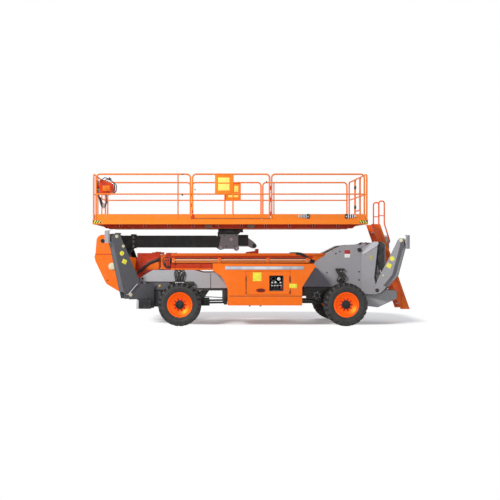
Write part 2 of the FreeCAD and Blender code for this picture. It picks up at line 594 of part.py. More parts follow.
def platform_deck():
    """Floor sheet on a channel frame with two deep beams and the slewing plate."""
    x, w = PLATFORM_X, PLATFORM_HALF_W
    floor = box(x, (-w, w), (DECK_Z - 20, DECK_Z))
    tray = box((x[0] + DECK_RIM, x[1] - DECK_RIM), (DECK_RIM - w, w - DECK_RIM), (FLOOR_Z, DECK_Z + 1))
    ends = [box((x[0], x[0] + 60), (-w, w), (FRAME_Z, DECK_Z - 8)), box((x[1] - 60, x[1]), (-w, w), (FRAME_Z, DECK_Z - 8))]
    sides = both_sides(box(x, (w - 60, w), (FRAME_Z, DECK_Z - 8)))
    beams = both_sides(box((x[0] + 400, x[1] - 400), (340, 440), (BEAM_Z, DECK_Z - 8)))
    spacing = (x[1] - x[0]) / 11
    joists = [box((x[0] + spacing * i - 25, x[0] + spacing * i + 25), (-w + 5, w - 5), (2500, DECK_Z - 8))
              for i in range(1, 11)]
    plate = box((PLATFORM_MID_X - 330, PLATFORM_MID_X + 330), (-345, 345), (2426, 2460))
    webs = both_sides(box((PLATFORM_MID_X - 330, PLATFORM_MID_X + 330), (230, 250), (2455, DECK_Z - 8)))
    return join(floor, *ends, *sides, *beams, *joists, plate, *webs).cut(tray)


def hoop(start, end, base_z, bend=90):
    """Top rail between two points with its end posts."""
    return bent_tube([(start[0], start[1], base_z), (start[0], start[1], TOP_RAIL_Z),
                      (end[0], end[1], TOP_RAIL_Z), (end[0], end[1], base_z)], RAIL_R, bend)


def rail_panel(start, end, posts=(), base_z=DECK_Z, mid_r=17):
    """Fence between two plan points: hoop, mid rail, inner posts and toe board."""
    shapes = [hoop(start, end, base_z), bar((*start, MID_RAIL_Z), (*end, MID_RAIL_Z), mid_r)]
    for share in posts:
        x = start[0] + (end[0] - start[0]) * share
        y = start[1] + (end[1] - start[1]) * share
        shapes.append(bar((x, y, base_z), (x, y, TOP_RAIL_Z), mid_r))
    if start[1] == end[1]:
        toe = box((start[0], end[0]), (start[1] - 5, start[1] + 5), (base_z, TOE_TOP))
    else:
        toe = box((start[0] - 5, start[0] + 5), tuple(sorted((start[1], end[1]))), (base_z, TOE_TOP))
    return join(*shapes, toe)


def platform_rails():
    """Fixed fences round the platform; those of the right side are the left ones turned half round."""
    y = -PLATFORM_HALF_W + 24
    front_x, rear_x = PLATFORM_X[0] + 24, PLATFORM_X[1] - 24
    latch_x = GATE_X[0] - 50
    long_front = rail_panel((front_x + 60, y), (latch_x, y), posts=(0.868,))
    long_rear = rail_panel((GATE_X[1] + 36, y), (rear_x - 60, y))
    fences = [long_front, long_rear, half_turn(long_front), half_turn(long_rear)]
    front_end = rail_panel((front_x, y + 10), (front_x, -y - 10), posts=(0.33, 0.67))
    gate_half = 320
    fences.append(front_end)
    for side in (-1, 1):
        near, far = sorted((side * (gate_half + 30), side * (-y - 10)))
        fences.append(rail_panel((rear_x, near), (rear_x, far)))
    return fences


def loading_gate():
    """Long gate with its toe board and hinge barrels on the front post."""
    y = -PLATFORM_HALF_W + 24
    gate = rail_panel((GATE_X[0], y), (GATE_X[1] - 14, y), posts=(0.525,), base_z=DECK_Z + 16)
    return gate


def entry_gate():
    """Small gate at the head of the ladder."""
    x = PLATFORM_X[1] - 24
    z = (DECK_Z + 250, TOP_RAIL_Z)
    frame = bent_tube([(x, -310, z[0]), (x, -310, z[1]), (x, 310, z[1]), (x, 310, z[0])], RAIL_R, 90)
    return join(frame, bar((x, -310, MID_RAIL_Z), (x, 310, MID_RAIL_Z), 17), bar((x, -310, z[0] + 20), (x, 310, z[0] + 20), 17))


def control_console():
    """Control box and its bracket inside the front fence."""
    x = PLATFORM_X[0] + 24
    cabinet = slab([(x + 90, 3210), (x + 90, 3560), (x + 200, 3560), (x + 430, 3440), (x + 430, 3300), (x + 300, 3210)], -750, -330)
    hooks = [box((x + 22, x + 95), (y0, y0 + 40), (3380, 3440)) for y0 in (-720, -400)]
    plate = box((x + 22, x + 34), (-760, -320), (3200, 3560))
    return join(cabinet, *hooks, plate)


# ---------------------------------------------------------------- ladder
LADDER_TOP, LADDER_FOOT = (2995.0, 2490.0), (3735.0, 357.0)
LADDER_Y, STRINGER_W = (300.0, 330.0), 220.0


def access_ladder():
    """Inclined ladder with treads, hand hoops and its brackets to the rear beam."""
    (tx, tz), (fx, fz) = LADDER_TOP, LADDER_FOOT
    stringer = slab([(tx, tz), (tx + STRINGER_W, tz), (fx + STRINGER_W, fz), (fx, fz)], *LADDER_Y)
    stringers = both_sides(stringer)
    lean = (fx - tx) / (tz - fz)
    treads = []
    for step in range(7):
        z = 480 + 300 * step
        x = tx + (tz - z) * lean
        treads.append(box((x + 30, x + STRINGER_W - 30), (-LADDER_Y[0] - 5, LADDER_Y[0] + 5), (z - 15, z + 15)))
    hoops = []
    for y in (-315, 315):
        path = [(3185, 2440), (3185, 3066), (3325, 3066), (3325, 2500), (3470, 2030), (3380, 1985)]
        hoops.append(bent_tube([(x, y, z) for x, z in path], 17, 60))
        hoops.append(bar((3185, y, 2700), (3325, y, 2700), 12))
        hoops.append(bar((3310, y, 2190), (3420, y, 2190), 12))
    brackets = both_sides(box((3560, 3640), (300, 330), (760, 830)))
    return join(*stringers, *treads, *hoops, *brackets)


# ---------------------------------------------------------------- nodes
def main():
    os.makedirs("parts", exist_ok=True)
    side_frames = {name: side_frame(side) for name, side in SIDES.items()}
    mast_foot = pedestal()
    save("front_beam", front_beam())
    save("cross_members", *cross_members())
    for name, frame in side_frames.items():
        save("side_frame_" + name, frame)
    save("boom_pedestal", mast_foot)
    save("engine_block", engine_block())
    save("front_axle", front_axle())
    save("rear_axle", rear_axle())
    save("ground_controls", ground_controls())
    save("access_ladder", access_ladder().cut(mast_foot))
    save("outrigger_brackets_front", *front_bracket_pair([front_beam(), *side_frames.values()]))
    save("outrigger_brackets_rear", *rear_bracket_pair(mast_foot))
    for name, side in SIDES.items():
        save("housing_" + name, housing(side))
        save("door_" + name, housing_door(side))
        save("steering_knuckle_" + name, steering_knuckle(side))
        for end, x in (("front", FRONT_AXLE_X), ("rear", REAR_AXLE_X)):
            save(f"tyre_{end}_{name}", tyre(x, side))
            save(f"rim_{end}_{name}", rim(x, side))
        front_parts = [leg_arm(FRONT_ARM, FRONT_ARM_WEB, FRONT_TOE, 124),
                       leg_foot(FRONT_TOE, 175, 150, FRONT_TOE[1] - 8),
                       *ram(*FRONT_LEG_RAM, 34, 24, 42, 42, 540, 24, 102)]
        rear_parts = [leg_arm(REAR_ARM, REAR_ARM_WEB, REAR_TOE, 118),
                      leg_foot(REAR_TOE, 110, 165, REAR_TOE[1] - 35),
                      *ram(*REAR_LEG_RAM, 36, 25, 42, 46, 640, 24, 96)]
        for end, leg, parts in (("front", FRONT_LEG, front_parts), ("rear", REAR_LEG, rear_parts)):
            names = ("outrigger_arm", "outrigger_foot", "outrigger_ram", "outrigger_rod")
            parts[1] = parts[1].cut(parts[0])
            for node, piece in zip(names, parts):
                save(f"{node}_{end}_{name}", stand_at(piece, leg, end == "front", side))
    save("boom_base", boom_base())
    save("boom_pipes", *boom_pipes())
    save("boom_middle", boom_middle())
    save("boom_tip", boom_tip())
    save("knuckle", knuckle())
    for name, ends, sizes in (("luff", LUFF_RAM, (76, 50, 78, 94, 1257, 40)), ("arm", ARM_RAM, (58, 40, 56, 78, 825, 35))):
        barrel, rod = ram(*ends, *sizes)
        save(name + "_ram", barrel)
        save(name + "_rod", rod)
    save("upper_arm", upper_arm())
    save("platform_mount", platform_mount())
    save("platform_deck", platform_deck())
    save("platform_rails", *platform_rails())
    save("loading_gate_left", loading_gate())
    save("loading_gate_right", half_turn(loading_gate()))
    save("entry_gate", entry_gate())
    save("control_console", control_console())


if __name__ == "__main__":
    main()
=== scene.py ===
import json
import math
import bmesh
import bpy
from mathutils import Matrix, Vector


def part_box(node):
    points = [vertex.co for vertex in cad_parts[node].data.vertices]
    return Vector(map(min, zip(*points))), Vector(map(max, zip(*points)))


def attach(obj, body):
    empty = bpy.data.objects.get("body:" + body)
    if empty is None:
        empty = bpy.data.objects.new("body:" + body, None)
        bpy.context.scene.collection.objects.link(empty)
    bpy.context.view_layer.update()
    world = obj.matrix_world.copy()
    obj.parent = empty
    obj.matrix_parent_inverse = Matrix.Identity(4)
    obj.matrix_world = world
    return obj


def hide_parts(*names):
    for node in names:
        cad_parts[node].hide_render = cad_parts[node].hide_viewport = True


bl_info = {
    "name": "Boom lift dressing",
    "version": (1, 0, 0),
    "blender": (4, 5, 0),
    "location": "View3D > Sidebar > Lift",
    "description": "Finishes, hoses, fittings and stage for a boom lift with a wide platform",
    "category": "Object",
}

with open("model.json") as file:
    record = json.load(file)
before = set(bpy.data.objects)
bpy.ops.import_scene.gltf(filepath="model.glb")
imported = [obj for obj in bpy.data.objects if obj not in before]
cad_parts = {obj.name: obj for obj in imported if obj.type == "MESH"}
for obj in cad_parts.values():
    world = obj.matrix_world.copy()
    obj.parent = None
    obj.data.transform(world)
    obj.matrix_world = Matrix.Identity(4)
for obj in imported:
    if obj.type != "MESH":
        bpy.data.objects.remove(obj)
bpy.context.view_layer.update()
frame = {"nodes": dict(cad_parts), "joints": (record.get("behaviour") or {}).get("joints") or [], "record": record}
NODES = frame["nodes"]
SIDES = {"left": -1, "right": 1}
ENDS = ("front", "rear")


def joint_named(name):
    """The frame's record of a joint."""
    return next(joint for joint in frame["joints"] if joint["name"] == name)


def joint_point(name):
    """Where a joint's axis stands, in metres."""
    return Vector(joint_named(name)["pos_m"])


BOOM_PIVOT = joint_point("boom_luff")
KNUCKLE_PIVOT = joint_point("knuckle_level")
ARM_PIVOT = joint_point("arm_lift")
LEVEL_PIVOT = joint_point("platform_level")
DECK_LOW, DECK_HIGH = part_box("platform_deck")
DECK_MIDDLE_X = (DECK_LOW.x + DECK_HIGH.x) / 2
DECK_FACE = DECK_HIGH.y
UP, TO_LEFT = Vector((0, 0, 1)), Vector((0, -1, 0))
# Distances of the machine's faces from its middle plane, in metres
HOUSING_FACE = 1.200
FRAME_FACE = 0.660
PEDESTAL_FACE = 0.672
KNUCKLE_FACE = 0.305
BOOM_FACE = 0.209
BEAM_FACE = 0.440


# ---------------------------------------------------------------- shader maths
class Wire:
    """A socket that takes part in Python arithmetic and adds Math nodes as it goes."""

    def __init__(self, finish, socket):
        self.finish = finish
        self.socket = socket

    def _math(self, operation, a, b):
        return self.finish.add("ShaderNodeMath", {"operation": operation}, {0: a, 1: b})

    def __add__(self, other):
        return self._math("ADD", self, other)

    __radd__ = __add__

    def __sub__(self, other):
        return self._math("SUBTRACT", self, other)

    def __rsub__(self, other):
        return self._math("SUBTRACT", other, self)

    def __mul__(self, other):
        return self._math("MULTIPLY", self, other)

    __rmul__ = __mul__


class Finish:
    """A material under construction."""

    def __init__(self, name):
        self.material = bpy.data.materials.new(name)
        self.material.use_nodes = True
        self.tree = self.material.node_tree
        self.shader = self.tree.nodes["Principled BSDF"]
        coordinates = self.tree.nodes.new("ShaderNodeTexCoord")
        self.place = Wire(self, coordinates.outputs["Object"])

    def add(self, kind, settings, sockets, output=0):
        """One node, from its type, its settings, and the values or links of its sockets."""
        node = self.tree.nodes.new(kind)
        for key, value in settings.items():
            if key == "stops":
                self._stops(node.color_ramp, value)
            else:
                setattr(node, key, value)
        for key, value in sockets.items():
            if isinstance(value, Wire):
                self.tree.links.new(value.socket, node.inputs[key])
            else:
                node.inputs[key].default_value = value
        return Wire(self, node.outputs[output])

    def _stops(self, ramp, stops):
        while len(ramp.elements) < len(stops):
            ramp.elements.new(0.5)
        for element, (position, value) in zip(ramp.elements, stops):
            element.position = position
            element.color = (value, value, value, 1) if isinstance(value, (int, float)) else (*value, 1)

    def axes(self):
        node = self.add("ShaderNodeSeparateXYZ", {}, {0: self.place})
        outputs = node.socket.node.outputs
        return [Wire(self, outputs[i]) for i in range(3)]

    def noise(self, scale, detail=4.0, rough=0.5, stretch=None):
        place = self.place
        if stretch is not None:
            place = self.add("ShaderNodeVectorMath", {"operation": "MULTIPLY"}, {0: place, 1: stretch})
        sockets = {"Vector": place, "Scale": scale, "Detail": detail, "Roughness": rough}
        return self.add("ShaderNodeTexNoise", {}, sockets)

    def ramp(self, value, stops):
        return self.add("ShaderNodeValToRGB", {"stops": stops}, {0: value})

    def blend(self, factor, a, b):
        """A colour between two, by a factor from 0 to 1."""
        node = self.add("ShaderNodeMix", {"data_type": "RGBA"}, {0: factor}, output=2)
        for index, value in ((6, a), (7, b)):
            if isinstance(value, Wire):
                self.tree.links.new(value.socket, node.socket.node.inputs[index])
            else:
                node.socket.node.inputs[index].default_value = (*value[:3], 1)
        return node

    def bump(self, height, strength, distance):
        bump = self.add("ShaderNodeBump", {}, {"Strength": strength, "Distance": distance, "Height": height})
        self.set("Normal", bump)

    def set(self, socket, value):
        """Give one of the shader's own sockets a wire, a number or a colour."""
        if isinstance(value, Wire):
            self.tree.links.new(value.socket, self.shader.inputs[socket])
        elif isinstance(value, (int, float)):
            self.shader.inputs[socket].default_value = value
        else:
            self.shader.inputs[socket].default_value = (*value[:3], 1)


FINISHES = {}


def finish(name, build):
    """The material of that name, made on its first use."""
    if name not in FINISHES:
        made = Finish(name)
        build(made)
        FINISHES[name] = made.material
    return FINISHES[name]


def shade(colour, factor):
    """A colour made darker or brighter, kept within 1."""
    return tuple(min(1.0, c * factor) for c in colour[:3])


def enamel(name, colour, rough=0.34, grime=0.035):
    """Sprayed machine paint: faint clouding, dust in patches and a little orange peel."""
    def build(f):
        cloud = f.noise(0.9, 3.0)
        dust = f.ramp(f.noise(5.0, 8.0, 0.62), [(0.46, 0.0), (0.74, 1.0)])
        streak = f.ramp(f.noise(9.0, 5.0, 0.6, (1.0, 1.0, 0.12)), [(0.52, 0.0), (0.80, 1.0)])
        base = f.blend(cloud, shade(colour, 0.93), shade(colour, 1.05))
        dusty = f.blend(dust * grime, base, (0.62, 0.58, 0.52))
        f.set("Base Color", f.blend(streak * (grime * 0.8), dusty, shade(colour, 0.45)))
        f.set("Roughness", dust * 0.18 + rough)
        f.set("Coat Weight", 0.10)
        f.set("Coat Roughness", 0.15)
        f.set("Specular IOR Level", 0.25)
        f.bump(f.noise(260.0, 2.0), 0.05, 0.0004)
    return finish(name, build)


def metal(name, colour, rough, scale=60.0):
    """Bare or plated metal with fine scratches."""
    def build(f):
        scratch = f.noise(scale, 6.0, 0.6)
        f.set("Base Color", f.blend(scratch, shade(colour, 0.85), shade(colour, 1.08)))
        f.set("Metallic", 1.0)
        f.set("Roughness", scratch * 0.2 + rough)
        f.bump(scratch, 0.08, 0.0004)
    return finish(name, build)


def rubber(name, colour, rough=0.72, dusty=0.3):
    """Matt rubber with dust in patches."""
    def build(f):
        dust = f.ramp(f.noise(14.0, 8.0, 0.65), [(0.42, 0.0), (0.72, 1.0)])
        f.set("Base Color", f.blend(dust * dusty, colour, (0.20, 0.18, 0.16)))
        f.set("Roughness", rough)
        f.bump(f.noise(180.0, 5.0), 0.2, 0.001)
    return finish(name, build)


def plastic(name, colour, rough=0.5):
    """Moulded plastic with a fine grain."""
    def build(f):
        grain = f.noise(420.0, 2.0)
        f.set("Base Color", f.blend(f.noise(3.0, 3.0), shade(colour, 0.92), shade(colour, 1.06)))
        f.set("Roughness", grain * 0.1 + rough)
        f.bump(grain, 0.12, 0.0003)
    return finish(name, build)


# ---------------------------------------------------------------- sizes and colours
def colour_property(name, description, default):
    return bpy.props.FloatVectorProperty(name=name, description=description, default=default, size=3,
                                         subtype="COLOR", min=0.0, max=1.0)


def length_property(name, description, default):
    return bpy.props.FloatProperty(name=name, description=description, default=default, unit="LENGTH", min=0.0)


class LiftPaint(bpy.types.PropertyGroup):
    """Colours of the machine."""
    orange: colour_property("Orange", "Main enamel of the boom, housings and knuckle", (0.90, 0.160, 0.003))
    # Red orange is the orange darkened to its look in shade: painted shade on the boom's head, gate hinges, brackets
    # and wheel nuts.
    red_orange: colour_property("Red orange", "Enamel of the boom's head and the gate hinges", (0.60, 0.040, 0.004))
    # The boom web colour is orange darkened to its look in deep shade: painted shade on the boom's sides and the
    # deck's beams.
    web: colour_property("Boom web", "Deeper enamel of the boom's sides and the deck's beams", (0.54, 0.038, 0.001))
    # The ladder enamel is redder than the orange: painted shade of the stringers' shaded face.
    ladder: colour_property("Ladder", "Enamel of the ladder", (0.96, 0.120, 0.005))
    rail: colour_property("Rails", "Weathered enamel of the guard rails and gates", (0.84, 0.200, 0.013))
    deck: colour_property("Deck", "Enamel of the deck's outer band", (0.90, 0.215, 0.010))
    rim: colour_property("Rims", "Flake paint of the wheels", (0.98, 0.115, 0.004))
    slate: colour_property("Slate", "Enamel of the frame behind the housings", (0.155, 0.160, 0.195))
    light_grey: colour_property("Light grey", "Enamel of the pedestal and rear outriggers", (0.305, 0.298, 0.315))
    # Pale grey also covers the rear beams' sheets, where it is painted light.
    pale_grey: colour_property("Pale grey", "Enamel of the frame's side plates", (0.400, 0.395, 0.410))
    dark_grey: colour_property("Dark grey", "Enamel of the front outriggers and their boxes", (0.085, 0.085, 0.095))
    silver: colour_property("Silver grey", "Enamel of small covers and gussets", (0.50, 0.50, 0.53))
    steel_grey: colour_property("Steel grey", "Enamel of stripe edges and collar straps", (0.250, 0.252, 0.262))
    black: colour_property("Black", "Enamel of the upper arm and axles", (0.012, 0.013, 0.014))
    pale: colour_property("Pale plate", "Zinc plate on pins and screws", (0.62, 0.52, 0.40))
    lemon: colour_property("Plate film", "Blank warning plates and the deck's slanted bars", (0.88, 0.80, 0.05))
    rubber: colour_property("Rubber", "Tyres", (0.018, 0.018, 0.018))


class LiftSizes(bpy.types.PropertyGroup):
    """Sizes of the fittings."""
    hose: length_property("Hose radius", "Radius of the black hydraulic hoses", 0.013)
    nut: length_property("Wheel nut", "Radius of a wheel nut across its corners", 0.017)
    sign: length_property("Plate thickness", "Thickness of the blank plates", 0.003)
    stripe: length_property("Stripe width", "Pitch of the bars of the hazard stripes", 0.058)


# ---------------------------------------------------------------- mesh tools
def along(axis):
    """A turn that stands +Z up along an axis."""
    return Vector(axis).to_track_quat("Z", "Y").to_matrix().to_4x4()


def about(middle, radius, angle, away=0.0):
    """A place round an axle that runs along Y."""
    return middle.x + radius * math.cos(angle), middle.y + away, middle.z + radius * math.sin(angle)


class Shape:
    """Mesh under construction, in the machine's own frame."""

    def __init__(self):
        self.mesh = bmesh.new()

    def _place(self, verts, matrix):
        bmesh.ops.transform(self.mesh, matrix=matrix, verts=verts)

    def _edges(self, made):
        """Edges of a new solid, in the order in which its corners meet them."""
        return list(dict.fromkeys(edge for corner in made["verts"] for edge in corner.link_edges))

    def _round(self, edges, width):
        bmesh.ops.bevel(self.mesh, geom=edges, offset=width, segments=2, affect="EDGES", profile=0.6)

    def block(self, low, high, bevel=0.0, turn=None):
        low, high = Vector(low), Vector(high)
        size, middle = high - low, (high + low) / 2
        made = bmesh.ops.create_cube(self.mesh, size=1.0)
        matrix = Matrix.Translation(middle) @ (turn or Matrix.Identity(4)) @ Matrix.Diagonal((*size, 1))
        self._place(made["verts"], matrix)
        if bevel:
            self._round(self._edges(made), bevel)
        return self

    def drum(self, centre, axis, radius, depth, segments=32, top=None, bevel=0.0, place=Matrix()):
        made = bmesh.ops.create_cone(self.mesh, cap_ends=True, segments=segments, radius1=radius,
                                     radius2=radius if top is None else top, depth=depth)
        self._place(made["verts"], place @ Matrix.Translation(Vector(centre)) @ along(axis))
        if bevel:
            rims = [edge for edge in self._edges(made) if any(len(face.verts) > 4 for face in edge.link_faces)]
            self._round(rims, bevel)
        return self

    def bolt(self, centre, axis, radius=0.012, height=0.009):
        """A hexagon head on a washer."""
        axis = Vector(axis).normalized()
        centre = Vector(centre)
        self.drum(centre + axis * height * 0.15, axis, radius * 1.45, height * 0.3, 20)
        self.drum(centre + axis * height * 0.75, axis, radius, height, 6, top=radius * 0.94)
        return self

    def plate(self, side, x, y, z, bevel=0.0):
        """A block on one side of the machine: its reach in X, its distances from the middle, its reach in Z."""
        near, far = sorted(side * distance for distance in y)
        return self.block((x[0], near, z[0]), (x[1], far, z[1]), bevel)

    def bridge(self, here, there):
        """Faces between two loops of as many points."""
        count = len(here)
        for k in range(count):
            n = (k + 1) % count
            self.mesh.faces.new((here[k], here[n], there[n], there[k]))

    def slab(self, bottom, top):
        """A closed body between two outlines of as many points."""
        bottom, top = ([self.mesh.verts.new(point) for point in outline] for outline in (bottom, top))
        self.mesh.faces.new(bottom[::-1])
        self.mesh.faces.new(top)
        self.bridge(bottom, top)
        return self

    def web(self, side, outline, y):
        """A flat outline in X and Z on one side of the machine, between two distances from the middle."""
        near, far = sorted(side * distance for distance in y)
        return self.slab([(x, near, z) for x, z in outline], [(x, far, z) for x, z in outline])

    def turned(self, middle, profile, side, turns):
        """A closed profile of radius and distance, turned about the wheel's axle."""
        loops = []
        for i in range(turns):
            a = 2 * math.pi * i / turns
            loops.append([self.mesh.verts.new(about(middle, r, a, side * y)) for r, y in profile])
        for i in range(turns):
            self.bridge(loops[i], loops[(i + 1) % turns])
        return self

    def sticker(self, place, size):
        """A thin rectangle that lies in the plane of a turned place."""
        made = bmesh.ops.create_cube(self.mesh, size=1.0)
        self._place(made["verts"], place @ Matrix.Diagonal((*size, 1)))
        return self

    def ring(self, centre, axis, radius, thickness, segments=48, sides=10):
        """A torus about an axis."""
        turn = Matrix.Translation(Vector(centre)) @ along(axis)
        loops = []
        for i in range(segments):
            a = 2 * math.pi * i / segments
            loops.append([self.mesh.verts.new(turn @ Vector((
                (radius + thickness * math.cos(b)) * math.cos(a), (radius + thickness * math.cos(b)) * math.sin(a),
                thickness * math.sin(b)))) for b in (2 * math.pi * k / sides for k in range(sides))])
        for i in range(segments):
            self.bridge(loops[i], loops[(i + 1) % segments])
        return self

    def done(self, name, material, body, slot, smooth=40.0):
        """Make the mesh an object that rides on a body, with edges sharp above an angle in degrees."""
        bmesh.ops.recalc_face_normals(self.mesh, faces=self.mesh.faces)
        data = bpy.data.meshes.new(name)
        self.mesh.to_mesh(data)
        self.mesh.free()
        data.materials.append(material)
        for polygon in data.polygons:
            polygon.use_smooth = True
        data.set_sharp_from_angle(angle=math.radians(smooth))
        piece = bpy.data.objects.new(name, data)
        bpy.context.scene.collection.objects.link(piece)
        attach(piece, body)
        return piece


def hose(name, routes, radius, material, body, slot):
    """Smooth round hoses, each along its own points."""
    curve = bpy.data.curves.new(name, "CURVE")
    curve.dimensions = "3D"
    curve.bevel_depth = radius
    curve.bevel_resolution = 3
    curve.resolution_u = 6
    curve.use_fill_caps = True
    for route in routes:
        spline = curve.splines.new("NURBS")
        spline.points.add(len(route) - 1)
        for point, place in zip(spline.points, route):
            point.co = (*place, 1.0)
        spline.order_u = 3
        spline.use_endpoint_u = True
    curve.materials.append(material)
    piece = bpy.data.objects.new(name, curve)
    bpy.context.scene.collection.objects.link(piece)
    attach(piece, body)
    return piece


def coat(node, material):
    """Give a CAD node its finish."""
    data = NODES[node].data
    data.materials.clear()
    data.materials.append(material)


# ---------------------------------------------------------------- pieces
def paints():
    return bpy.context.scene.lift_paint


def sizes():
    return bpy.context.scene.lift_sizes


def orange():
    return enamel("orange_enamel", paints().orange)


def light_grey():
    return enamel("light_grey_enamel", paints().light_grey, 0.42)


def pale_grey():
    return enamel("pale_grey_enamel", paints().pale_grey, 0.42)


def dark_grey():
    return enamel("dark_grey_enamel", paints().dark_grey, 0.42)


def black():
    return enamel("black_enamel", paints().black, 0.36, 0.06)


# Orange darkened as in shade: painted shade wherever red orange is used.
def red_orange():
    return enamel("shade_red_orange_enamel", paints().red_orange, 0.42, 0.14)


# Orange darkened as in deep shade: painted shade; the ribs, seams, door lips and console take it too.
def deep_shade_enamel():
    return enamel("deep_shade_enamel", paints().web, 0.38, 0.05)


def steel_grey():
    return enamel("steel_grey_enamel", paints().steel_grey, 0.40, 0.06)


def silver_grey():
    return enamel("silver_grey_enamel", paints().silver, 0.40, 0.03)


def ladder_shade_enamel():
    return enamel("ladder_shade_enamel", paints().ladder, 0.40, 0.12)


def rail_enamel():
    return enamel("rail_enamel", paints().rail, 0.36)


def deck_enamel():
    return enamel("deck_enamel", paints().deck, 0.36)


def rim_paint():
    """Flake paint that turns from red in its shade to yellow where the lamp strikes it."""
    def build(f):
        colour = paints().rim
        dust = f.ramp(f.noise(16.0, 8.0, 0.62), [(0.50, 0.0), (0.78, 1.0)])
        f.set("Base Color", f.blend(dust * 0.06, colour, (0.50, 0.40, 0.32)))
        f.set("Roughness", dust * 0.12 + 0.46)
        f.set("Metallic", 0.88)
        f.bump(f.noise(300.0, 2.0), 0.05, 0.0004)
    return finish("rim_flake_paint", build)


def slate():
    return enamel("slate_enamel", paints().slate, 0.42, 0.10)


def chrome():
    return metal("chromed_rod", (0.72, 0.72, 0.74), 0.12, 90.0)


def zinc():
    return metal("zinc_plate", paints().pale, 0.34)


def plate_yellow():
    """Blank warning plate: bright film, faintly mottled."""
    def build(f):
        patch = f.ramp(f.noise(26.0, 3.0), [(0.40, 0.0), (0.62, 1.0)])
        f.set("Base Color", f.blend(patch, paints().lemon, shade(paints().lemon, 0.82)))
        f.set("Roughness", 0.38)
        f.bump(f.noise(300.0, 2.0), 0.03, 0.0003)
    return finish("plate_film", build)


def stripe_finish():
    """Brushed silver film with slow bands of grey along it: painted reflections of the film's sheen."""
    def build(f):
        band = f.ramp(f.noise(3.2, 3.0, 0.5, (1.0, 1.0, 0.2)), [(0.38, 0.0), (0.62, 1.0)])
        f.set("Base Color", f.blend(band, (0.40, 0.41, 0.47), (0.66, 0.66, 0.69)))
        f.set("Roughness", 0.35)
        f.bump(f.noise(220.0, 2.0), 0.03, 0.0003)
    return finish("silver_film_painted_reflections", build)


def white():
    return enamel("pale_plate", (0.80, 0.79, 0.76), 0.35, 0.06)


def mount_enamel():
    return enamel("mount_enamel", (0.31, 0.35, 0.39), 0.36, 0.03)


def dial_white():
    return enamel("dial_white", (0.62, 0.62, 0.60), 0.3, 0.03)


def stop_red():
    return enamel("stop_red", (0.55, 0.02, 0.015), 0.3, 0.02)


def pale_cap():
    return plastic("pale_cap", (0.66, 0.62, 0.40), 0.45)


def grip_steel():
    return metal("grip_steel", (0.30, 0.30, 0.31), 0.45)


def black_plastic():
    return plastic("black_plastic", (0.016, 0.016, 0.017), 0.45)


def black_hose():
    return rubber("hose_rubber", (0.013, 0.013, 0.013), 0.5)


def tyre_rubber():
    return rubber("tyre_rubber", shade(paints().rubber, 0.75), 0.66, 0.12)


class LIFT_OT_frame_finishes(bpy.types.Operator):
    """Give every part of the frame its enamel, plate or rubber"""
    bl_idname = "lift.frame_finishes"
    bl_label = "Frame finishes"

    def execute(self, context):
        by_slot = {
            "orange_paint": orange(), "red_orange_paint": red_orange(), "light_grey_paint": light_grey(),
            "dark_grey_paint": dark_grey(), "black_paint": black(), "pale_steel": zinc(), "chromed_rod": chrome(),
            "grey_plastic": plastic("grey_plastic", (0.05, 0.05, 0.055)), "tyre_rubber": tyre_rubber(),
        }
        for part in frame["record"]["subparts"]:
            coat(part["node"], by_slot[part["material_slot"]])
        coat("platform_deck", deck_enamel())
        for node in ("platform_rails", "loading_gate_left", "loading_gate_right", "entry_gate"):
            coat(node, rail_enamel())
        for name in SIDES:
            coat(f"side_frame_{name}", pale_grey())
            for end in ENDS:
                coat(f"rim_{end}_{name}", rim_paint())
        return {"FINISHED"}


class LIFT_OT_wheel_fittings(bpy.types.Operator):
    """Dishes, hub caps and nuts of the four wheels"""
    bl_idname = "lift.wheel_fittings"
    bl_label = "Wheel fittings"
    NUTS = 10
    NUT_CIRCLE = 0.138

    def execute(self, context):
        nut = sizes().nut
        for end in ENDS:
            for name, side in SIDES.items():
                body = f"wheel_{end}_{name}"
                low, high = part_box(f"rim_{end}_{name}")
                middle = (low + high) / 2
                face = (low.y if side < 0 else high.y) - side * 0.044
                axis = Vector((0, side, 0))
                self.dish(middle, side).done(f"wheel_dish_{end}_{name}", rim_paint(), body, "orange_paint")
                hub = Shape()
                hub.drum((middle.x, face - side * 0.02, middle.z), axis, 0.108, 0.06, 40, bevel=0.008)
                hub.drum((middle.x, face + side * 0.025, middle.z), axis, 0.066, 0.04, 32, top=0.054, bevel=0.005)
                hub.drum((middle.x, face + side * 0.047, middle.z), axis, 0.022, 0.012, 6)
                hub.done(f"hub_cap_{end}_{name}", black(), body, "black_paint")
                nuts = Shape()
                for i in range(self.NUTS):
                    spot = Vector(about(middle, self.NUT_CIRCLE, 2 * math.pi * i / self.NUTS, side * 0.098))
                    nuts.drum(spot, axis, nut * 1.5, 0.006, 20)
                    nuts.drum(spot + axis * 0.012, axis, nut, 0.022, 6, top=nut * 0.92)
                    nuts.drum(spot + axis * 0.028, axis, nut * 0.5, 0.014, 12)
                nuts.done(f"wheel_nuts_{end}_{name}", red_orange(), body, "red_orange_paint")
        return {"FINISHED"}

    def dish(self, middle, side):
        """Cone between the rim's barrel and the flat ring that carries the nuts."""
        profile = [(0.2675, 0.148), (0.262, 0.154), (0.252, 0.146), (0.168, 0.098), (0.158, 0.095), (0.104, 0.095),
                   (0.104, 0.085), (0.156, 0.087), (0.165, 0.090), (0.2675, 0.138)]
        return Shape().turned(middle, profile, side, 72)


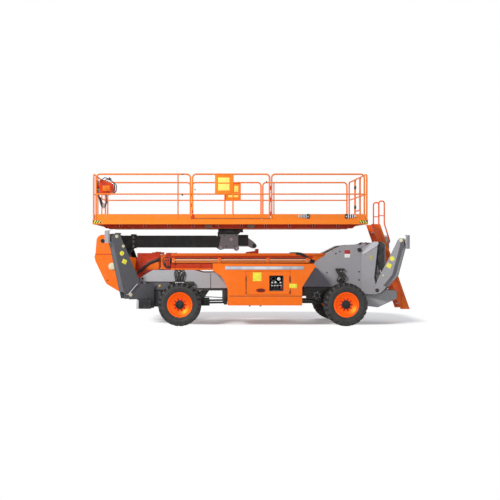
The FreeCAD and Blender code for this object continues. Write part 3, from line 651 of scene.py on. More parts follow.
class LIFT_OT_tyres(bpy.types.Operator):
    """Tyres with chevron lugs, shoulder blocks and ribbed walls"""
    bl_idname = "lift.tyres"
    bl_label = "Tyres"
    LUGS = 24

    def execute(self, context):
        for end in ENDS:
            for name in SIDES:
                node = f"tyre_{end}_{name}"
                low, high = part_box(node)
                tyre = self.carcass((low + high) / 2, (high.z - low.z) / 2, (high.y - low.y) / 2)
                body = f"wheel_{end}_{name}"
                piece = tyre.done(f"tyre_tread_{end}_{name}", tyre_rubber(), body, "tyre_rubber", 32.0)
                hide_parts(node)
        return {"FINISHED"}

    def carcass(self, middle, radius, half):
        """Turned casing and walls with two rows of lugs."""
        tyre = Shape()
        crown = radius - 0.036
        wall = [(0.302, half - 0.034), (0.318, half - 0.018), (0.345, half - 0.012), (0.352, half - 0.004),
                (0.360, half - 0.010), (0.398, half - 0.001), (0.405, half), (0.412, half - 0.003),
                (0.442, half - 0.008), (0.448, half - 0.004), (0.456, half - 0.022),
                (crown - 0.006, half - 0.058), (crown + 0.002, half * 0.55), (crown + 0.005, 0.0)]
        profile = wall + [(r, -y) for r, y in wall[-2::-1]]
        tyre.turned(middle, profile, 1, 96)
        for row, offset in ((-1, 0.0), (1, 0.5)):
            for i in range(self.LUGS):
                self.lug(tyre, middle, radius, half, row, 2 * math.pi * (i + offset) / self.LUGS)
        return tyre

    def lug(self, tyre, middle, radius, half, row, start):
        """One slanted bar from the middle of the tread over the shoulder and down the wall."""
        path = [(0.018, radius, 0.0, 0.026), (half * 0.55, radius - 0.001, 0.085, 0.030),
                (half - 0.030, radius - 0.008, 0.135, 0.034), (half - 0.006, radius - 0.052, 0.145, 0.030),
                (half - 0.004, radius - 0.085, 0.147, 0.022)]
        rings = []
        for across, reach, turn, width in path:
            ring = []
            for sign in (-1, 1):
                for depth in (0.0, 1.0):
                    sunk = 0.045 if across < half - 0.02 else 0.02
                    r = reach - depth * sunk
                    y = across - (depth * 0.025 if across > half - 0.02 else 0.0)
                    a = start + turn + sign * width * (1.0 + 0.25 * depth) / radius
                    ring.append(tyre.mesh.verts.new(about(middle, r, a, row * y)))
            rings.append((ring[0], ring[2], ring[3], ring[1]))
        for here, there in zip(rings, rings[1:]):
            tyre.bridge(here, there)
        tyre.mesh.faces.new(rings[0])
        tyre.mesh.faces.new(rings[-1][::-1])


def blank_plate(shape, x, z, width, height, y, side):
    """A rounded blank plate on a wall that faces sideways."""
    near, far = sorted((y, y + side * sizes().sign))
    shape.block((x - width / 2, near, z - height / 2), (x + width / 2, far, z + height / 2), 0.0012)


class LIFT_OT_housing_trim(bpy.types.Operator):
    """Stripes, blank plates, pull handles and seams of the side housings"""
    bl_idname = "lift.housing_trim"
    bl_label = "Housing trim"

    def execute(self, context):
        for name, side in SIDES.items():
            wall = side * HOUSING_FACE
            self.marks(name, side, wall)
            self.seams(name, side, wall)
            self.door(name, side, wall)
            self.underside(name, side)
        return {"FINISHED"}

    def marks(self, name, side, wall):
        """Pale stripe with dark edges, and the blank yellow plates."""
        stripe, edge = Shape(), Shape()
        blank_plate(edge, 0.250, 1.406, 1.90, 0.088, wall, side)
        blank_plate(stripe, 0.250, 1.406, 1.88, 0.068, wall + side * 0.0012, side)
        stripe.done(f"housing_stripe_{name}", stripe_finish(), "chassis", "orange_paint")
        edge.done(f"housing_stripe_edge_{name}", steel_grey(), "chassis", "dark_grey_paint")
        plates = Shape()
        blank_plate(plates, 0.940, 0.972, 0.180, 0.105, wall, side)
        plates.done(f"housing_plates_{name}", plate_yellow(), "chassis", "orange_paint")
        large = Shape()
        blank_plate(large, 0.075, 1.192, 0.205, 0.205, wall, side)
        large.done(f"door_plate_{name}", plate_yellow(), f"door_{name}", "orange_paint")

    def seams(self, name, side, wall):
        """Fold lines, and screws in the wall's own colour."""
        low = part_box(f"housing_{name}")[0]
        face = sorted((wall, wall + side * 0.0025))
        lines = Shape()
        lines.block((-0.600, face[0], 0.724), (1.180, face[1], 0.736), 0.001)
        lines.block((0.875, face[0], 0.790), (0.885, face[1], 1.200), 0.001)
        lines.done(f"housing_seams_{name}", black_plastic(), "chassis", "black_paint")
        screws = Shape()
        for i in range(8):
            for z in (low.z + 0.040, 1.346):
                screws.bolt((-0.560 + i * 0.235, wall, z), (0, side, 0), 0.009, 0.006)
        screws.done(f"housing_screws_{name}", orange(), "chassis", "orange_paint")

    def door(self, name, side, wall):
        """Slot latches at the door's edges and the oval pull in its lower half."""
        latch, pull, lip = Shape(), Shape(), Shape()
        body = f"door_{name}"
        reach = (HOUSING_FACE, HOUSING_FACE + 0.010)
        for z in ((1.075, 1.205), (0.790, 0.850)):
            for x in ((-0.200, -0.182), (0.842, 0.860)):
                latch.plate(side, x, reach, z, 0.004)
        latch.plate(side, (-0.196, -0.186), reach, (0.850, 1.075), 0.001)
        latch.done(f"door_latches_{name}", black_plastic(), body, "black_paint")
        centre = Vector((0.160, wall, 0.868))
        flat = Matrix.Diagonal((1.0, 1.0, 0.42, 1.0))
        for shape, radius, depth, out in ((lip, 0.118, 0.010, 0.005), (pull, 0.100, 0.006, 0.009)):
            place = Matrix.Translation(centre + Vector((0, side * out, 0))) @ flat
            shape.drum((0, 0, 0), (0, side, 0), radius, depth, 48, top=radius * 0.94, place=place)
        lip.done(f"door_pull_lip_{name}", deep_shade_enamel(), body, "orange_paint")
        pull_enamel = enamel("pull_enamel", (0.110, 0.010, 0.006), 0.35, 0.03)
        pull.done(f"door_pull_{name}", pull_enamel, body, "black_paint")

    def underside(self, name, side):
        """Drain stubs below the housing's floor."""
        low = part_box(f"housing_{name}")[0]
        stubs = Shape()
        for x in (-0.10, 0.16):
            stubs.drum((x, side * 1.120, low.z - 0.012), UP, 0.022, 0.030, 20, bevel=0.003)
        stubs.done(f"housing_stubs_{name}", black_plastic(), "chassis", "black_paint")


class LIFT_OT_ground_panel(bpy.types.Operator):
    """Switches, gauge and key switch behind the left door's window"""
    bl_idname = "lift.ground_panel"
    bl_label = "Ground control panel"
    FACE = -1.13

    def execute(self, context):
        y = self.FACE
        panel, knobs, dials, stop, screen = (Shape() for _ in range(5))
        panel.block((0.385, y, 0.875), (0.690, y + 0.006, 1.205), 0.004)
        panel.done("ground_panel_plate", metal("panel_steel", (0.42, 0.43, 0.45), 0.38), "chassis", "pale_steel")
        for row in range(3):
            for column in range(5):
                x, z = 0.415 + column * 0.055, 0.905 + row * 0.062
                knobs.drum((x, y - 0.006, z), TO_LEFT, 0.013, 0.012, 20, bevel=0.002)
                knobs.block((x - 0.004, y - 0.030, z - 0.004), (x + 0.004, y - 0.006, z + 0.012), 0.002)
        knobs.block((0.400, y - 0.008, 1.105), (0.520, y, 1.185), 0.004)
        for x, z, radius in ((0.600, 1.140, 0.042), (0.520, 1.060, 0.026),
                             (0.640, 1.050, 0.022), (0.440, 1.055, 0.020)):
            dials.drum((x, y - 0.012, z), TO_LEFT, radius, 0.018, 36, bevel=0.003)
        for column in range(4):
            x = 0.405 + column * 0.072
            dials.block((x, y - 0.010, 0.965), (x + 0.050, y, 0.990), 0.002)
        dials.done("ground_panel_dials", dial_white(), "chassis", "pale_steel")
        knobs.done("ground_panel_knobs", black_plastic(), "chassis", "black_paint")
        stop.drum((0.665, y - 0.020, 0.920), TO_LEFT, 0.020, 0.03, 32, bevel=0.005)
        stop.done("ground_panel_stop", stop_red(), "chassis", "red_orange_paint")
        screen.block((0.408, y - 0.011, 1.113), (0.512, y - 0.008, 1.177), 0.002)
        glass = plastic("dark_screen", (0.010, 0.016, 0.022), 0.12)
        screen.done("ground_panel_screen", glass, "chassis", "grey_plastic")
        return {"FINISHED"}


class LIFT_OT_pins(bpy.types.Operator):
    """Pin caps, keeper plates and bolts at the hinges"""
    bl_idname = "lift.pins"
    bl_label = "Pin caps and bolts"

    def execute(self, context):
        cap, seam, dark, boom = (Shape() for _ in range(4))
        for side in (-1, 1):
            axis = (0, side, 0)
            cap.drum((KNUCKLE_PIVOT.x, side * 0.322, KNUCKLE_PIVOT.z), axis, 0.088, 0.012, 56, bevel=0.004)
            cap.drum((KNUCKLE_PIVOT.x, side * 0.330, KNUCKLE_PIVOT.z), axis, 0.070, 0.006, 48, bevel=0.002)
            seam.plate(side, (-3.938, -3.215), (KNUCKLE_FACE - 0.0005, KNUCKLE_FACE + 0.003), (1.722, 1.744), 0.0015)
            dark.drum((ARM_PIVOT.x, side * 0.323, ARM_PIVOT.z), axis, 0.050, 0.010, 40, bevel=0.003)
            dark.bolt((ARM_PIVOT.x, side * 0.328, ARM_PIVOT.z), axis, 0.016, 0.010)
            for x, z in ((-3.52, 1.86), (-3.30, 1.06), (-3.20, 0.86), (-3.62, 1.08)):
                dark.bolt((x, side * KNUCKLE_FACE, z), axis, 0.011, 0.008)
            boom.drum((BOOM_PIVOT.x, side * 0.694, BOOM_PIVOT.z), axis, 0.050, 0.012, 40, bevel=0.003)
            for dx, dz in ((-0.045, 0.02), (0.045, -0.02)):
                boom.bolt((BOOM_PIVOT.x + dx, side * 0.681, BOOM_PIVOT.z + dz), axis, 0.010, 0.008)
            for x, z in ((2.05, 1.75), (2.15, 1.80), (1.83, 1.28), (2.62, 1.10), (2.62, 1.30)):
                boom.bolt((x, side * PEDESTAL_FACE, z), axis, 0.013, 0.010)
        cap.done("knuckle_pin_caps", pale_cap(), "knuckle", "pale_steel")
        seam.done("knuckle_weld_seam", deep_shade_enamel(), "knuckle", "orange_paint")
        dark.done("knuckle_keepers", black(), "knuckle", "black_paint")
        boom.done("pedestal_bolts", black(), "chassis", "black_paint")
        return {"FINISHED"}


def leg_axes(joint, end, side):
    """An outrigger's hinge point, the level way it folds out, and the way its outer face looks."""
    pivot, hinge = Vector(joint["pos_m"]), Vector(joint["axis"])
    out = UP.cross(hinge)
    if out.x * (-1 if end == "front" else 1) < 0:
        out = -out
    return pivot, out, hinge if hinge.y * side > 0 else -hinge


LEG_HALF_WIDTH = {"front": 0.124, "rear": 0.118}
# Outline, as reach and height, of a dark strip on each rear leg's outer face: painted shade of its shaded side face
LEG_SHADE_STRIP = [(0.628, 1.228), (0.648, 1.098), (0.453, 0.368), (0.218, 0.092),
            (0.150, 0.110), (0.372, 0.385), (0.566, 1.105), (0.560, 1.228)]
LOCK_ROD = [(0.112, 0.020), (0.092, -0.006), (0.060, 0.012), (-0.055, 0.140), (-0.160, 0.245), (-0.180, 0.258)]


class LIFT_OT_leg_plates(bpy.types.Operator):
    """Blank yellow plates, pin heads and caps of the outriggers, a strip of painted shade on each rear leg and lock
    rods on the front ones
    """
    bl_idname = "lift.leg_plates"
    bl_label = "Outrigger plates"

    def execute(self, context):
        for name, side in SIDES.items():
            for end in ENDS:
                joint = joint_named(f"outrigger_{end}_{name}_swing")
                pivot, out, outer = leg_axes(joint, end, side)
                half = LEG_HALF_WIDTH[end]

                def spot(reach, height, proud=0.0, away=1):
                    return pivot + out * reach + UP * height + outer * away * (half + proud)

                self.plates(end, name, outer, spot)
                self.pins(end, name, outer, spot)
                if end == "rear":
                    # A dark grey strip on the rear leg's outer face: painted shade standing for its side face in
                    # shadow.
                    edge = Shape().slab(*([spot(*pair, proud) for pair in LEG_SHADE_STRIP] for proud in (0.000, 0.005)))
                    edge.done(f"leg_shade_strip_{name}", dark_grey(), f"outrigger_rear_{name}", "dark_grey_paint")
                else:
                    route = [spot(*pair, 0.048) for pair in LOCK_ROD]
                    hose(f"leg_lock_rod_{name}", [route], 0.010, silver_grey(), "chassis", "pale_steel")
        return {"FINISHED"}

    def plates(self, end, name, outer, spot):
        """A round and a square blank plate on the leg's outer face."""
        round_place, square_place = {"front": ((0.215, 1.000), (0.150, 0.800)),
                                     "rear": ((0.370, 0.770), (0.290, 0.600))}[end]
        lean = Matrix.Rotation(math.radians({"front": -24, "rear": -26}[end]), 4, outer)
        film = Shape()
        film.drum(spot(*round_place, 0.0015), outer, 0.056, 0.004, 40)
        film.sticker(Matrix.Translation(spot(*square_place, 0.0015)) @ lean @ along(outer), (0.115, 0.105, 0.004))
        film.done(f"leg_plates_{end}_{name}", plate_yellow(), f"outrigger_{end}_{name}", "orange_paint")

    def pins(self, end, name, outer, spot):
        """Heads of the hinge pin, and pale caps on both faces of the leg."""
        heads, caps = Shape(), Shape()
        proud = {"front": 0.030, "rear": 0.008}[end]
        cap_places = {"front": ((0.351, 1.405, 0.040), (0.180, 1.170, 0.036)),
                      "rear": ((0.585, 1.208, 0.044), (0.150, 0.360, 0.022))}[end]
        for away in (-1, 1):
            heads.drum(spot(0, 0, proud, away), outer * away, 0.046, 0.012, 32, bevel=0.002)
            heads.drum(spot(0, 0, proud + 0.009, away), outer * away, 0.018, 0.010, 6)
            for reach, height, radius in cap_places:
                caps.drum(spot(reach, height, 0.005, away), outer * away, radius, 0.012, 32, bevel=0.003)
        finish_of_heads = {"front": zinc, "rear": black}[end]()
        heads.done(f"leg_pin_heads_{end}_{name}", finish_of_heads, "chassis", "pale_steel")
        caps.done(f"leg_caps_{end}_{name}", pale_cap(), f"outrigger_{end}_{name}", "pale_steel")


MARK_Z = 2.650
# Distance along the deck, width and height of each bar mark
BAR_MARKS = ((0.035, 0.070, 0.104), (0.104, 0.030, 0.094), (0.158, 0.024, 0.080),
             (0.204, 0.018, 0.060), (0.242, 0.012, 0.040))


def half_turn(turned, x, y, z):
    """A place on the deck, or its twin half a turn round the deck's middle."""
    return Vector((DECK_MIDDLE_X + turned * (x - DECK_MIDDLE_X), turned * y, z))


def half_turned_block(shape, turned, x, y, z, bevel):
    low, high = half_turn(turned, x[0], y[0], z[0]), half_turn(turned, x[1], y[1], z[1])
    shape.block([min(pair) for pair in zip(low, high)], [max(pair) for pair in zip(low, high)], bevel)


class LIFT_OT_platform_trim(bpy.types.Operator):
    """Hazard stripes, tread floor, latches and cross tubes of the platform"""
    bl_idname = "lift.platform_trim"
    bl_label = "Platform trim"

    def execute(self, context):
        self.stripes()
        self.sill()
        self.beams()
        self.tread()
        self.latches()
        self.cross_tubes()
        return {"FINISHED"}

    def stripes(self):
        """Slanted yellow and black bars at the lower corners of the deck."""
        width = sizes().stripe
        low_z, high_z = DECK_LOW.z + 0.102, DECK_LOW.z + 0.180
        bars, backs = Shape(), Shape()
        for side in (-1, 1):
            for end, edge in ((-1, DECK_LOW.x), (1, DECK_HIGH.x)):
                start = edge - end * 0.010
                reach = sorted((start, start - end * 0.190))
                backs.plate(side, reach, (DECK_FACE - 0.0012, DECK_FACE + 0.0018), (low_z, high_z), 0.001)
                for i in range(3):
                    x = start - end * (0.012 + i * width)
                    outline = [(x, low_z + 0.006), (x - end * width * 0.42, low_z + 0.006),
                               (x - end * (width * 0.42 + 0.040), high_z - 0.006), (x - end * 0.040, high_z - 0.006)]
                    bars.web(side, outline, (DECK_FACE, DECK_FACE + 0.003))
        backs.done("corner_plates", black_plastic(), "platform", "black_paint")
        bars.done("corner_stripes", plate_yellow(), "platform", "orange_paint")

    def sill(self):
        """Dark seam under each loading gate with its hinge bracket in red orange, a painted shade, and the bar marks
        at the rear.
        """
        seam, bracket, bars, backs = (Shape() for _ in range(4))
        for turned in (1, -1):
            for shape, x, z, proud, bevel in ((seam, (-1.440, 0.387), (2.5865, 2.5965), 0.0015, 0.0),
                                              (bracket, (-1.520, -1.436), (2.580, 2.600), 0.014, 0.002),
                                              (bracket, (-1.500, -1.452), (2.600, 2.690), 0.010, 0.003)):
                half_turned_block(shape, turned, x, (DECK_LOW.y + 0.004, DECK_LOW.y - proud), z, bevel)
        for side in (-1, 1):
            for start, away in ((1.330, -1), (2.183, 1)):
                for offset, width, height in BAR_MARKS:
                    z = (MARK_Z - height / 2, MARK_Z + height / 2)
                    x = start + away * offset
                    bars.plate(side, (x - width / 2, x + width / 2), (1.199, 1.2025), z, 0.0008)
                    x += away * (width / 2 + 0.011)
                    backs.plate(side, (x - 0.009, x + 0.009), (1.199, 1.2025), z, 0.0008)
                x = start + away * BAR_MARKS[0][0]
                backs.plate(side, (x - 0.012, x + 0.012), (1.199, 1.2040), (MARK_Z - 0.021, MARK_Z + 0.003), 0.0008)
        seam.done("sill_seams", black_plastic(), "platform", "black_paint")
        bracket.done("sill_brackets", red_orange(), "platform", "red_orange_paint")
        bars.done("deck_bar_marks", black_plastic(), "platform", "black_paint")
        backs.done("deck_bar_mark_lights", white(), "platform", "pale_steel")

    def beams(self):
        """Painted shade on the deck's long beams and their tapered ends, as thin sheets of the deep shade enamel,
        with the ends of its joists.
        """
        low_x, high_x = DECK_LOW.x + 0.400, DECK_HIGH.x - 0.400
        proud_face = BEAM_FACE + 0.003
        skins, clips = Shape(), Shape()
        for side in (-1, 1):
            skins.plate(side, (low_x + 0.004, high_x - 0.004), (BEAM_FACE - 0.0005, proud_face),
                        (DECK_LOW.z + 0.004, 2.496), 0.001)
            for end_x, away in ((DECK_LOW.x, 1), (DECK_HIGH.x, -1)):
                taper = [(0.090, 2.500), (0.230, DECK_LOW.z + 0.006), (0.410, DECK_LOW.z + 0.006), (0.410, 2.500)]
                skins.web(side, [(end_x + away * reach, z) for reach, z in taper], (0.330, proud_face))
            spacing = (DECK_HIGH.x - DECK_LOW.x) / 11
            for i in range(1, 11):
                for x in (DECK_LOW.x + spacing * i - 0.030, DECK_LOW.x + spacing * i + 0.030):
                    clips.plate(side, (x - 0.004, x + 0.004), (proud_face, BEAM_FACE + 0.030),
                                (DECK_LOW.z + 0.030, 2.500), 0.001)
        skins.done("deck_beam_painted_shade", deep_shade_enamel(), "platform", "red_orange_paint")
        clips.done("deck_beam_clips", silver_grey(), "platform", "pale_steel")

    def tread(self):
        """Raised bars on the floor plates, laid crosswise in pairs."""
        floor = Shape()
        bar = [Vector(point) for point in ((-0.045, 0, 0.0005), (0, -0.010, 0.0005), (0.045, 0, 0.0005),
                                           (0, 0.010, 0.0005), (0, 0, 0.0045))]
        pitch, margin = 0.16, 0.30
        rows = int((DECK_HIGH.x - DECK_LOW.x - margin) / pitch)
        lines = int((DECK_HIGH.y - DECK_LOW.y - margin) / pitch)
        for i in range(rows):
            for k in range(lines):
                turn = Matrix.Rotation(math.radians(45 if (i + k) % 2 else -45), 4, "Z")
                middle = DECK_LOW.x + 0.22 + i * pitch, DECK_LOW.y + 0.22 + k * pitch, DECK_HIGH.z - 0.008
                place = Matrix.Translation(middle) @ turn
                made = [floor.mesh.verts.new(place @ point) for point in bar]
                for a, b in ((0, 1), (1, 2), (2, 3), (3, 0)):
                    floor.mesh.faces.new((made[a], made[b], made[4]))
        floor.done("floor_tread", metal("tread_plate", (0.52, 0.53, 0.55), 0.42), "platform", "pale_steel")

    def latches(self):
        """Slide bolts, hinge barrels and stops of the gates."""
        face = DECK_LOW.y + 0.024
        for turned, name in ((1, "left"), (-1, "right")):
            fixed, knobs = Shape(), Shape()
            for z in (2.71, 3.05, 3.33):
                fixed.drum(half_turn(turned, 0.393, face - 0.004, z), UP, 0.026, 0.10, 20, bevel=0.004)
            for z in (2.64, 2.76):
                fixed.drum(half_turn(turned, -1.475, face - 0.018, z), UP, 0.018, 0.045, 16, bevel=0.003)
            fixed.done(f"gate_hinges_{name}", red_orange(), "platform", "red_orange_paint")
            for x, out, z, radius, depth, bevel in ((-1.72, 0.030, 3.16, 0.022, 0.024, 0.005),
                                                    (-1.72, 0.018, 3.655, 0.016, 0.030, 0.004),
                                                    (0.30, 0.030, 3.47, 0.018, 0.020, 0.004)):
                knobs.drum(half_turn(turned, x, face - out, z), (0, 1, 0), radius, depth, 20, bevel=bevel)
            knobs.done(f"latch_knobs_{name}", black_plastic(), "platform", "black_paint")
        closers = Shape()
        for z in (2.945, 3.455):
            closers.drum((DECK_HIGH.x - 0.024, 0.310, z), UP, 0.029, 0.085, 20, bevel=0.006)
        closers.done("entry_gate_hinges", black_plastic(), "platform", "black_paint")

    def cross_tubes(self):
        """Pale tubes that cross under the deck on both sides of the slewing ring, and the dark lip below the sill,
        its red orange a painted shade.
        """
        tubes, lip = Shape(), Shape()
        for x in (DECK_MIDDLE_X - 0.52, DECK_MIDDLE_X + 0.52):
            for side in (-1, 1):
                tubes.plate(side, (x - 0.085, x + 0.085), (0.44, 0.95), (2.392, 2.452), 0.004)
        for side in (-1, 1):
            lip.plate(side, (DECK_LOW.x + 0.012, DECK_HIGH.x - 0.012), (1.177, 1.193),
                      (DECK_LOW.z + 0.077, DECK_LOW.z + 0.087), 0.002)
        tubes.done("deck_cross_tubes", enamel("dull_steel", (0.20, 0.17, 0.14), 0.5, 0.10), "platform", "pale_steel")
        lip.done("sill_lip", red_orange(), "platform", "red_orange_paint")


class LIFT_OT_gate_signs(bpy.types.Operator):
    """Panels on the loading gates with their blank yellow plates"""
    bl_idname = "lift.gate_signs"
    bl_label = "Gate panels"

    def execute(self, context):
        face = DECK_LOW.y + 0.004
        for turned, name in ((1, "left"), (-1, "right")):
            board, plates = Shape(), Shape()
            for shape, x, z, near, far, bevel in (
                    (board, (-0.937, -0.505), (3.185, 3.640), 0.004, 0.010, 0.003),
                    (board, (-0.937, -0.505), (3.195, 3.215), 0.0, 0.012, 0.003),
                    (board, (-0.937, -0.505), (3.610, 3.632), 0.0, 0.012, 0.003),
                    (plates, (-0.862, -0.590), (3.455, 3.575), 0.0, 0.004, 0.0015),
                    (plates, (-0.862, -0.590), (3.265, 3.425), 0.0, 0.004, 0.0015),
                    (plates, (-0.869, -0.759), (3.410, 3.570), 0.0105, 0.0145, 0.0015),
                    (plates, (-0.869, -0.599), (3.262, 3.318), 0.0105, 0.0145, 0.0015)):
                half_turned_block(shape, turned, x, (face + near, face + far), z, bevel)
            board.done(f"gate_panel_{name}", deck_enamel(), f"gate_{name}", "orange_paint")
            film = enamel("pale_yellow", (0.95, 0.78, 0.16), 0.4, 0.02)
            plates.done(f"gate_plates_{name}", film, f"gate_{name}", "orange_paint")
        return {"FINISHED"}


class LIFT_OT_boom_dressing(bpy.types.Operator):
    """Flange strips, pipe clamps, weld seams and hoses of the boom"""
    bl_idname = "lift.boom_dressing"
    bl_label = "Boom dressing"
    TAIL = [(1.480, 1.500), (1.560, 1.690), (2.180, 1.690), (2.180, 1.372), (1.560, 1.372)]

    def execute(self, context):
        # The boom's sides take the deep shade enamel: painted shade from the platform above.
        coat("boom_base", deep_shade_enamel())
        self.flanges()
        self.pipes()
        self.head()
        self.hoses()
        return {"FINISHED"}

    def flanges(self):
        """Bright orange edges above and below the web, which is darker with painted shade."""
        strips = Shape()
        for side in (-1, 1):
            for low_z, high_z, proud in ((1.690, 1.757, 0.020), (1.331, 1.372, 0.014)):
                strips.plate(side, (-2.035, 2.180), (BOOM_FACE, BOOM_FACE + 0.001 + proud), (low_z, high_z), 0.004)
            strips.web(side, self.TAIL, (BOOM_FACE, BOOM_FACE + 0.007))
        strips.done("boom_flange_strips", orange(), "boom", "orange_paint")
        ribs = Shape()
        for side in (-1, 1):
            for x in (-1.94, -1.30, -0.44, 0.20, 0.84):
                ribs.plate(side, (x - 0.010, x + 0.010), (BOOM_FACE, BOOM_FACE + 0.012), (1.372, 1.545), 0.002)
        ribs.done("boom_web_ribs", deep_shade_enamel(), "boom", "orange_paint")

    def pipes(self):
        """Clamps that hold the hose pipes, and the unions at their ends."""
        coat("boom_pipes", enamel("pipe_enamel", (0.86, 0.44, 0.26), 0.30, 0.05))
        low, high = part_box("boom_pipes")
        clamps, screws, unions, second, cable = (Shape() for _ in range(5))
        for side in (-1, 1):
            for x in (-1.970, -0.810, 0.410, 1.400):
                clamps.plate(side, (x - 0.038, x + 0.038), (0.211, high.y + 0.007), (1.508, high.z + 0.016), 0.006)
                for dx in (-0.022, 0.022):
                    screws.bolt((x + dx, side * (high.y + 0.007), 1.560), (0, side, 0), 0.008, 0.006)
            second.drum(((low.x + high.x) / 2, side * 0.234, 1.533), (1, 0, 0), 0.018, high.x - low.x, 20)
            cable.drum(((low.x + high.x) / 2, side * 0.226, 1.628), (1, 0, 0), 0.009, high.x - low.x - 0.10, 12)
            for x in (low.x + 0.012, high.x - 0.012):
                unions.drum((x, side * 0.245, 1.586), (1, 0, 0), 0.031, 0.040, 6)
                unions.drum((x, side * 0.234, 1.533), (1, 0, 0), 0.023, 0.034, 6)
        clamps.done("pipe_clamps", orange(), "boom", "orange_paint")
        screws.done("pipe_clamp_screws", zinc(), "boom", "pale_steel")
        unions.done("pipe_unions", black(), "boom", "black_paint")
        pipe_finish = enamel("return_pipe_enamel", (0.92, 0.27, 0.05), 0.30, 0.05)
        second.done("return_pipes", pipe_finish, "boom", "pale_steel")
        cable.done("boom_side_cables", black_hose(), "boom", "black_paint")

    def head(self):
        """Gusset, wear-pad covers and welds where the sections leave one another."""
        gussets = Shape()
        for side in (-1, 1):
            gussets.web(side, [(-2.68, 1.345), (-2.345, 1.345), (-2.345, 1.530), (-2.52, 1.530)], (0.203, 0.215))
        gussets.done("head_gussets", orange(), "boom_tip", "orange_paint")
        # The head's collars and wear-pad covers take red orange: painted shade.
        collars = Shape()
        for low_x, high_x, top in ((-2.520, -2.440, 1.778), (-2.430, -2.300, 1.795), (-2.290, -2.215, 1.782)):
            collars.block((low_x, -0.170, 1.735), (high_x, 0.170, top), 0.008)
        collars.done("head_collars", red_orange(), "boom_tip", "red_orange_paint")
        pads = Shape()
        for x in (-2.130, -2.075):
            for side in (-1, 1):
                pads.plate(side, (x - 0.018, x + 0.018), (0.250, 0.255), (1.440, 1.640), 0.002)
        for x in (-2.12, -2.02, -1.92):
            pads.block((x - 0.035, -0.16, 1.752), (x + 0.035, 0.16, 1.768), 0.003)
        pads.done("wear_pad_covers", red_orange(), "boom", "red_orange_paint")

    def hoses(self):
        """Black hoses that loop over the boom's head and lead into the pipes."""
        radius = sizes().hose
        over = []
        for side in (-1, 1):
            for i in range(3):
                y = side * (0.222 + 0.020 * (i % 2))
                drop = 0.026 * i
                over.append([(-2.86, side * 0.215, 1.300 - drop), (-2.80, y, 1.335 - drop), (-2.68, y, 1.450 - drop),
                             (-2.56, y, 1.545 - drop), (-2.42, y, 1.590 - drop), (-2.32, y, 1.640 - drop)])
        hose("head_hoses", over, radius, black_hose(), "boom_tip", "black_paint")
        lead = []
        for side in (-1, 1):
            for i, start in enumerate(((0.245, 1.586), (0.234, 1.533))):
                y = side * (start[0] + 0.004)
                lead.append([(-2.030, side * start[0], start[1]), (-2.085, y, start[1]),
                             (-2.160, y, start[1] - 0.010), (-2.225 + 0.03 * i, y, 1.500 - 0.02 * i),
                             (-2.200, y, 1.430), (-2.130, y, 1.402), (-2.060, side * 0.236, 1.398 + 0.03 * i)])
            lead.append([(-2.035, side * 0.234, 1.630), (-2.090, side * 0.240, 1.640), (-2.180, side * 0.246, 1.660),
                         (-2.240, side * 0.240, 1.600), (-2.230, side * 0.232, 1.480), (-2.130, side * 0.236, 1.440),
                         (-2.060, side * 0.236, 1.460)])
            for i in range(4):
                y, drop = side * (0.226 + 0.020 * (i % 2)), 0.017 * i
                lead.append([(1.000 + 0.02 * i, side * 0.205, 1.768), (1.100, side * 0.222, 1.775 - drop),
                             (1.240, y, 1.770 - drop), (1.360, y, 1.715 - drop), (1.430, y, 1.640 - drop),
                             (1.520, y, 1.575 - drop), (1.600, side * 0.222, 1.560 - drop)])
            for z in (1.586, 1.533):
                lead.append([(1.505, side * 0.242, z), (1.540, side * 0.246, z + 0.004),
                             (1.570, side * 0.240, z - 0.010), (1.600, side * 0.222, z - 0.030)])
        hose("pipe_hoses", lead, radius * 0.85, black_hose(), "boom", "black_paint")


CHEEK_FACE = 0.182
CHEEK_PLATE = [(-0.720, 1.985), (-0.655, 1.905), (-0.420, 1.905), (-0.365, 1.985), (-0.365, 2.190),
               (-0.410, 2.240), (-0.690, 2.240), (-0.735, 2.190)]
CHEEK_BOSS = [(-0.565, 1.955), (-0.450, 1.955), (-0.420, 2.000), (-0.420, 2.155), (-0.450, 2.190),
              (-0.565, 2.190), (-0.595, 2.155), (-0.595, 2.000)]
CHEEK_SCREWS = [(-0.690, 2.205), (-0.640, 1.935), (-0.435, 1.935), (-0.390, 2.205), (-0.560, 2.175), (-0.455, 1.975)]
ARM_END_GUARD = [(-0.950, 2.190), (-0.850, 2.190), (-0.850, 2.300), (-0.700, 2.300),
                 (-0.700, 1.960), (-0.820, 1.905), (-0.950, 1.905)]
GEAR_SKIRT = [(-0.826, 2.232), (-0.826, 2.345), (-0.740, 2.400), (-0.240, 2.400), (-0.240, 2.330), (-0.330, 2.232)]


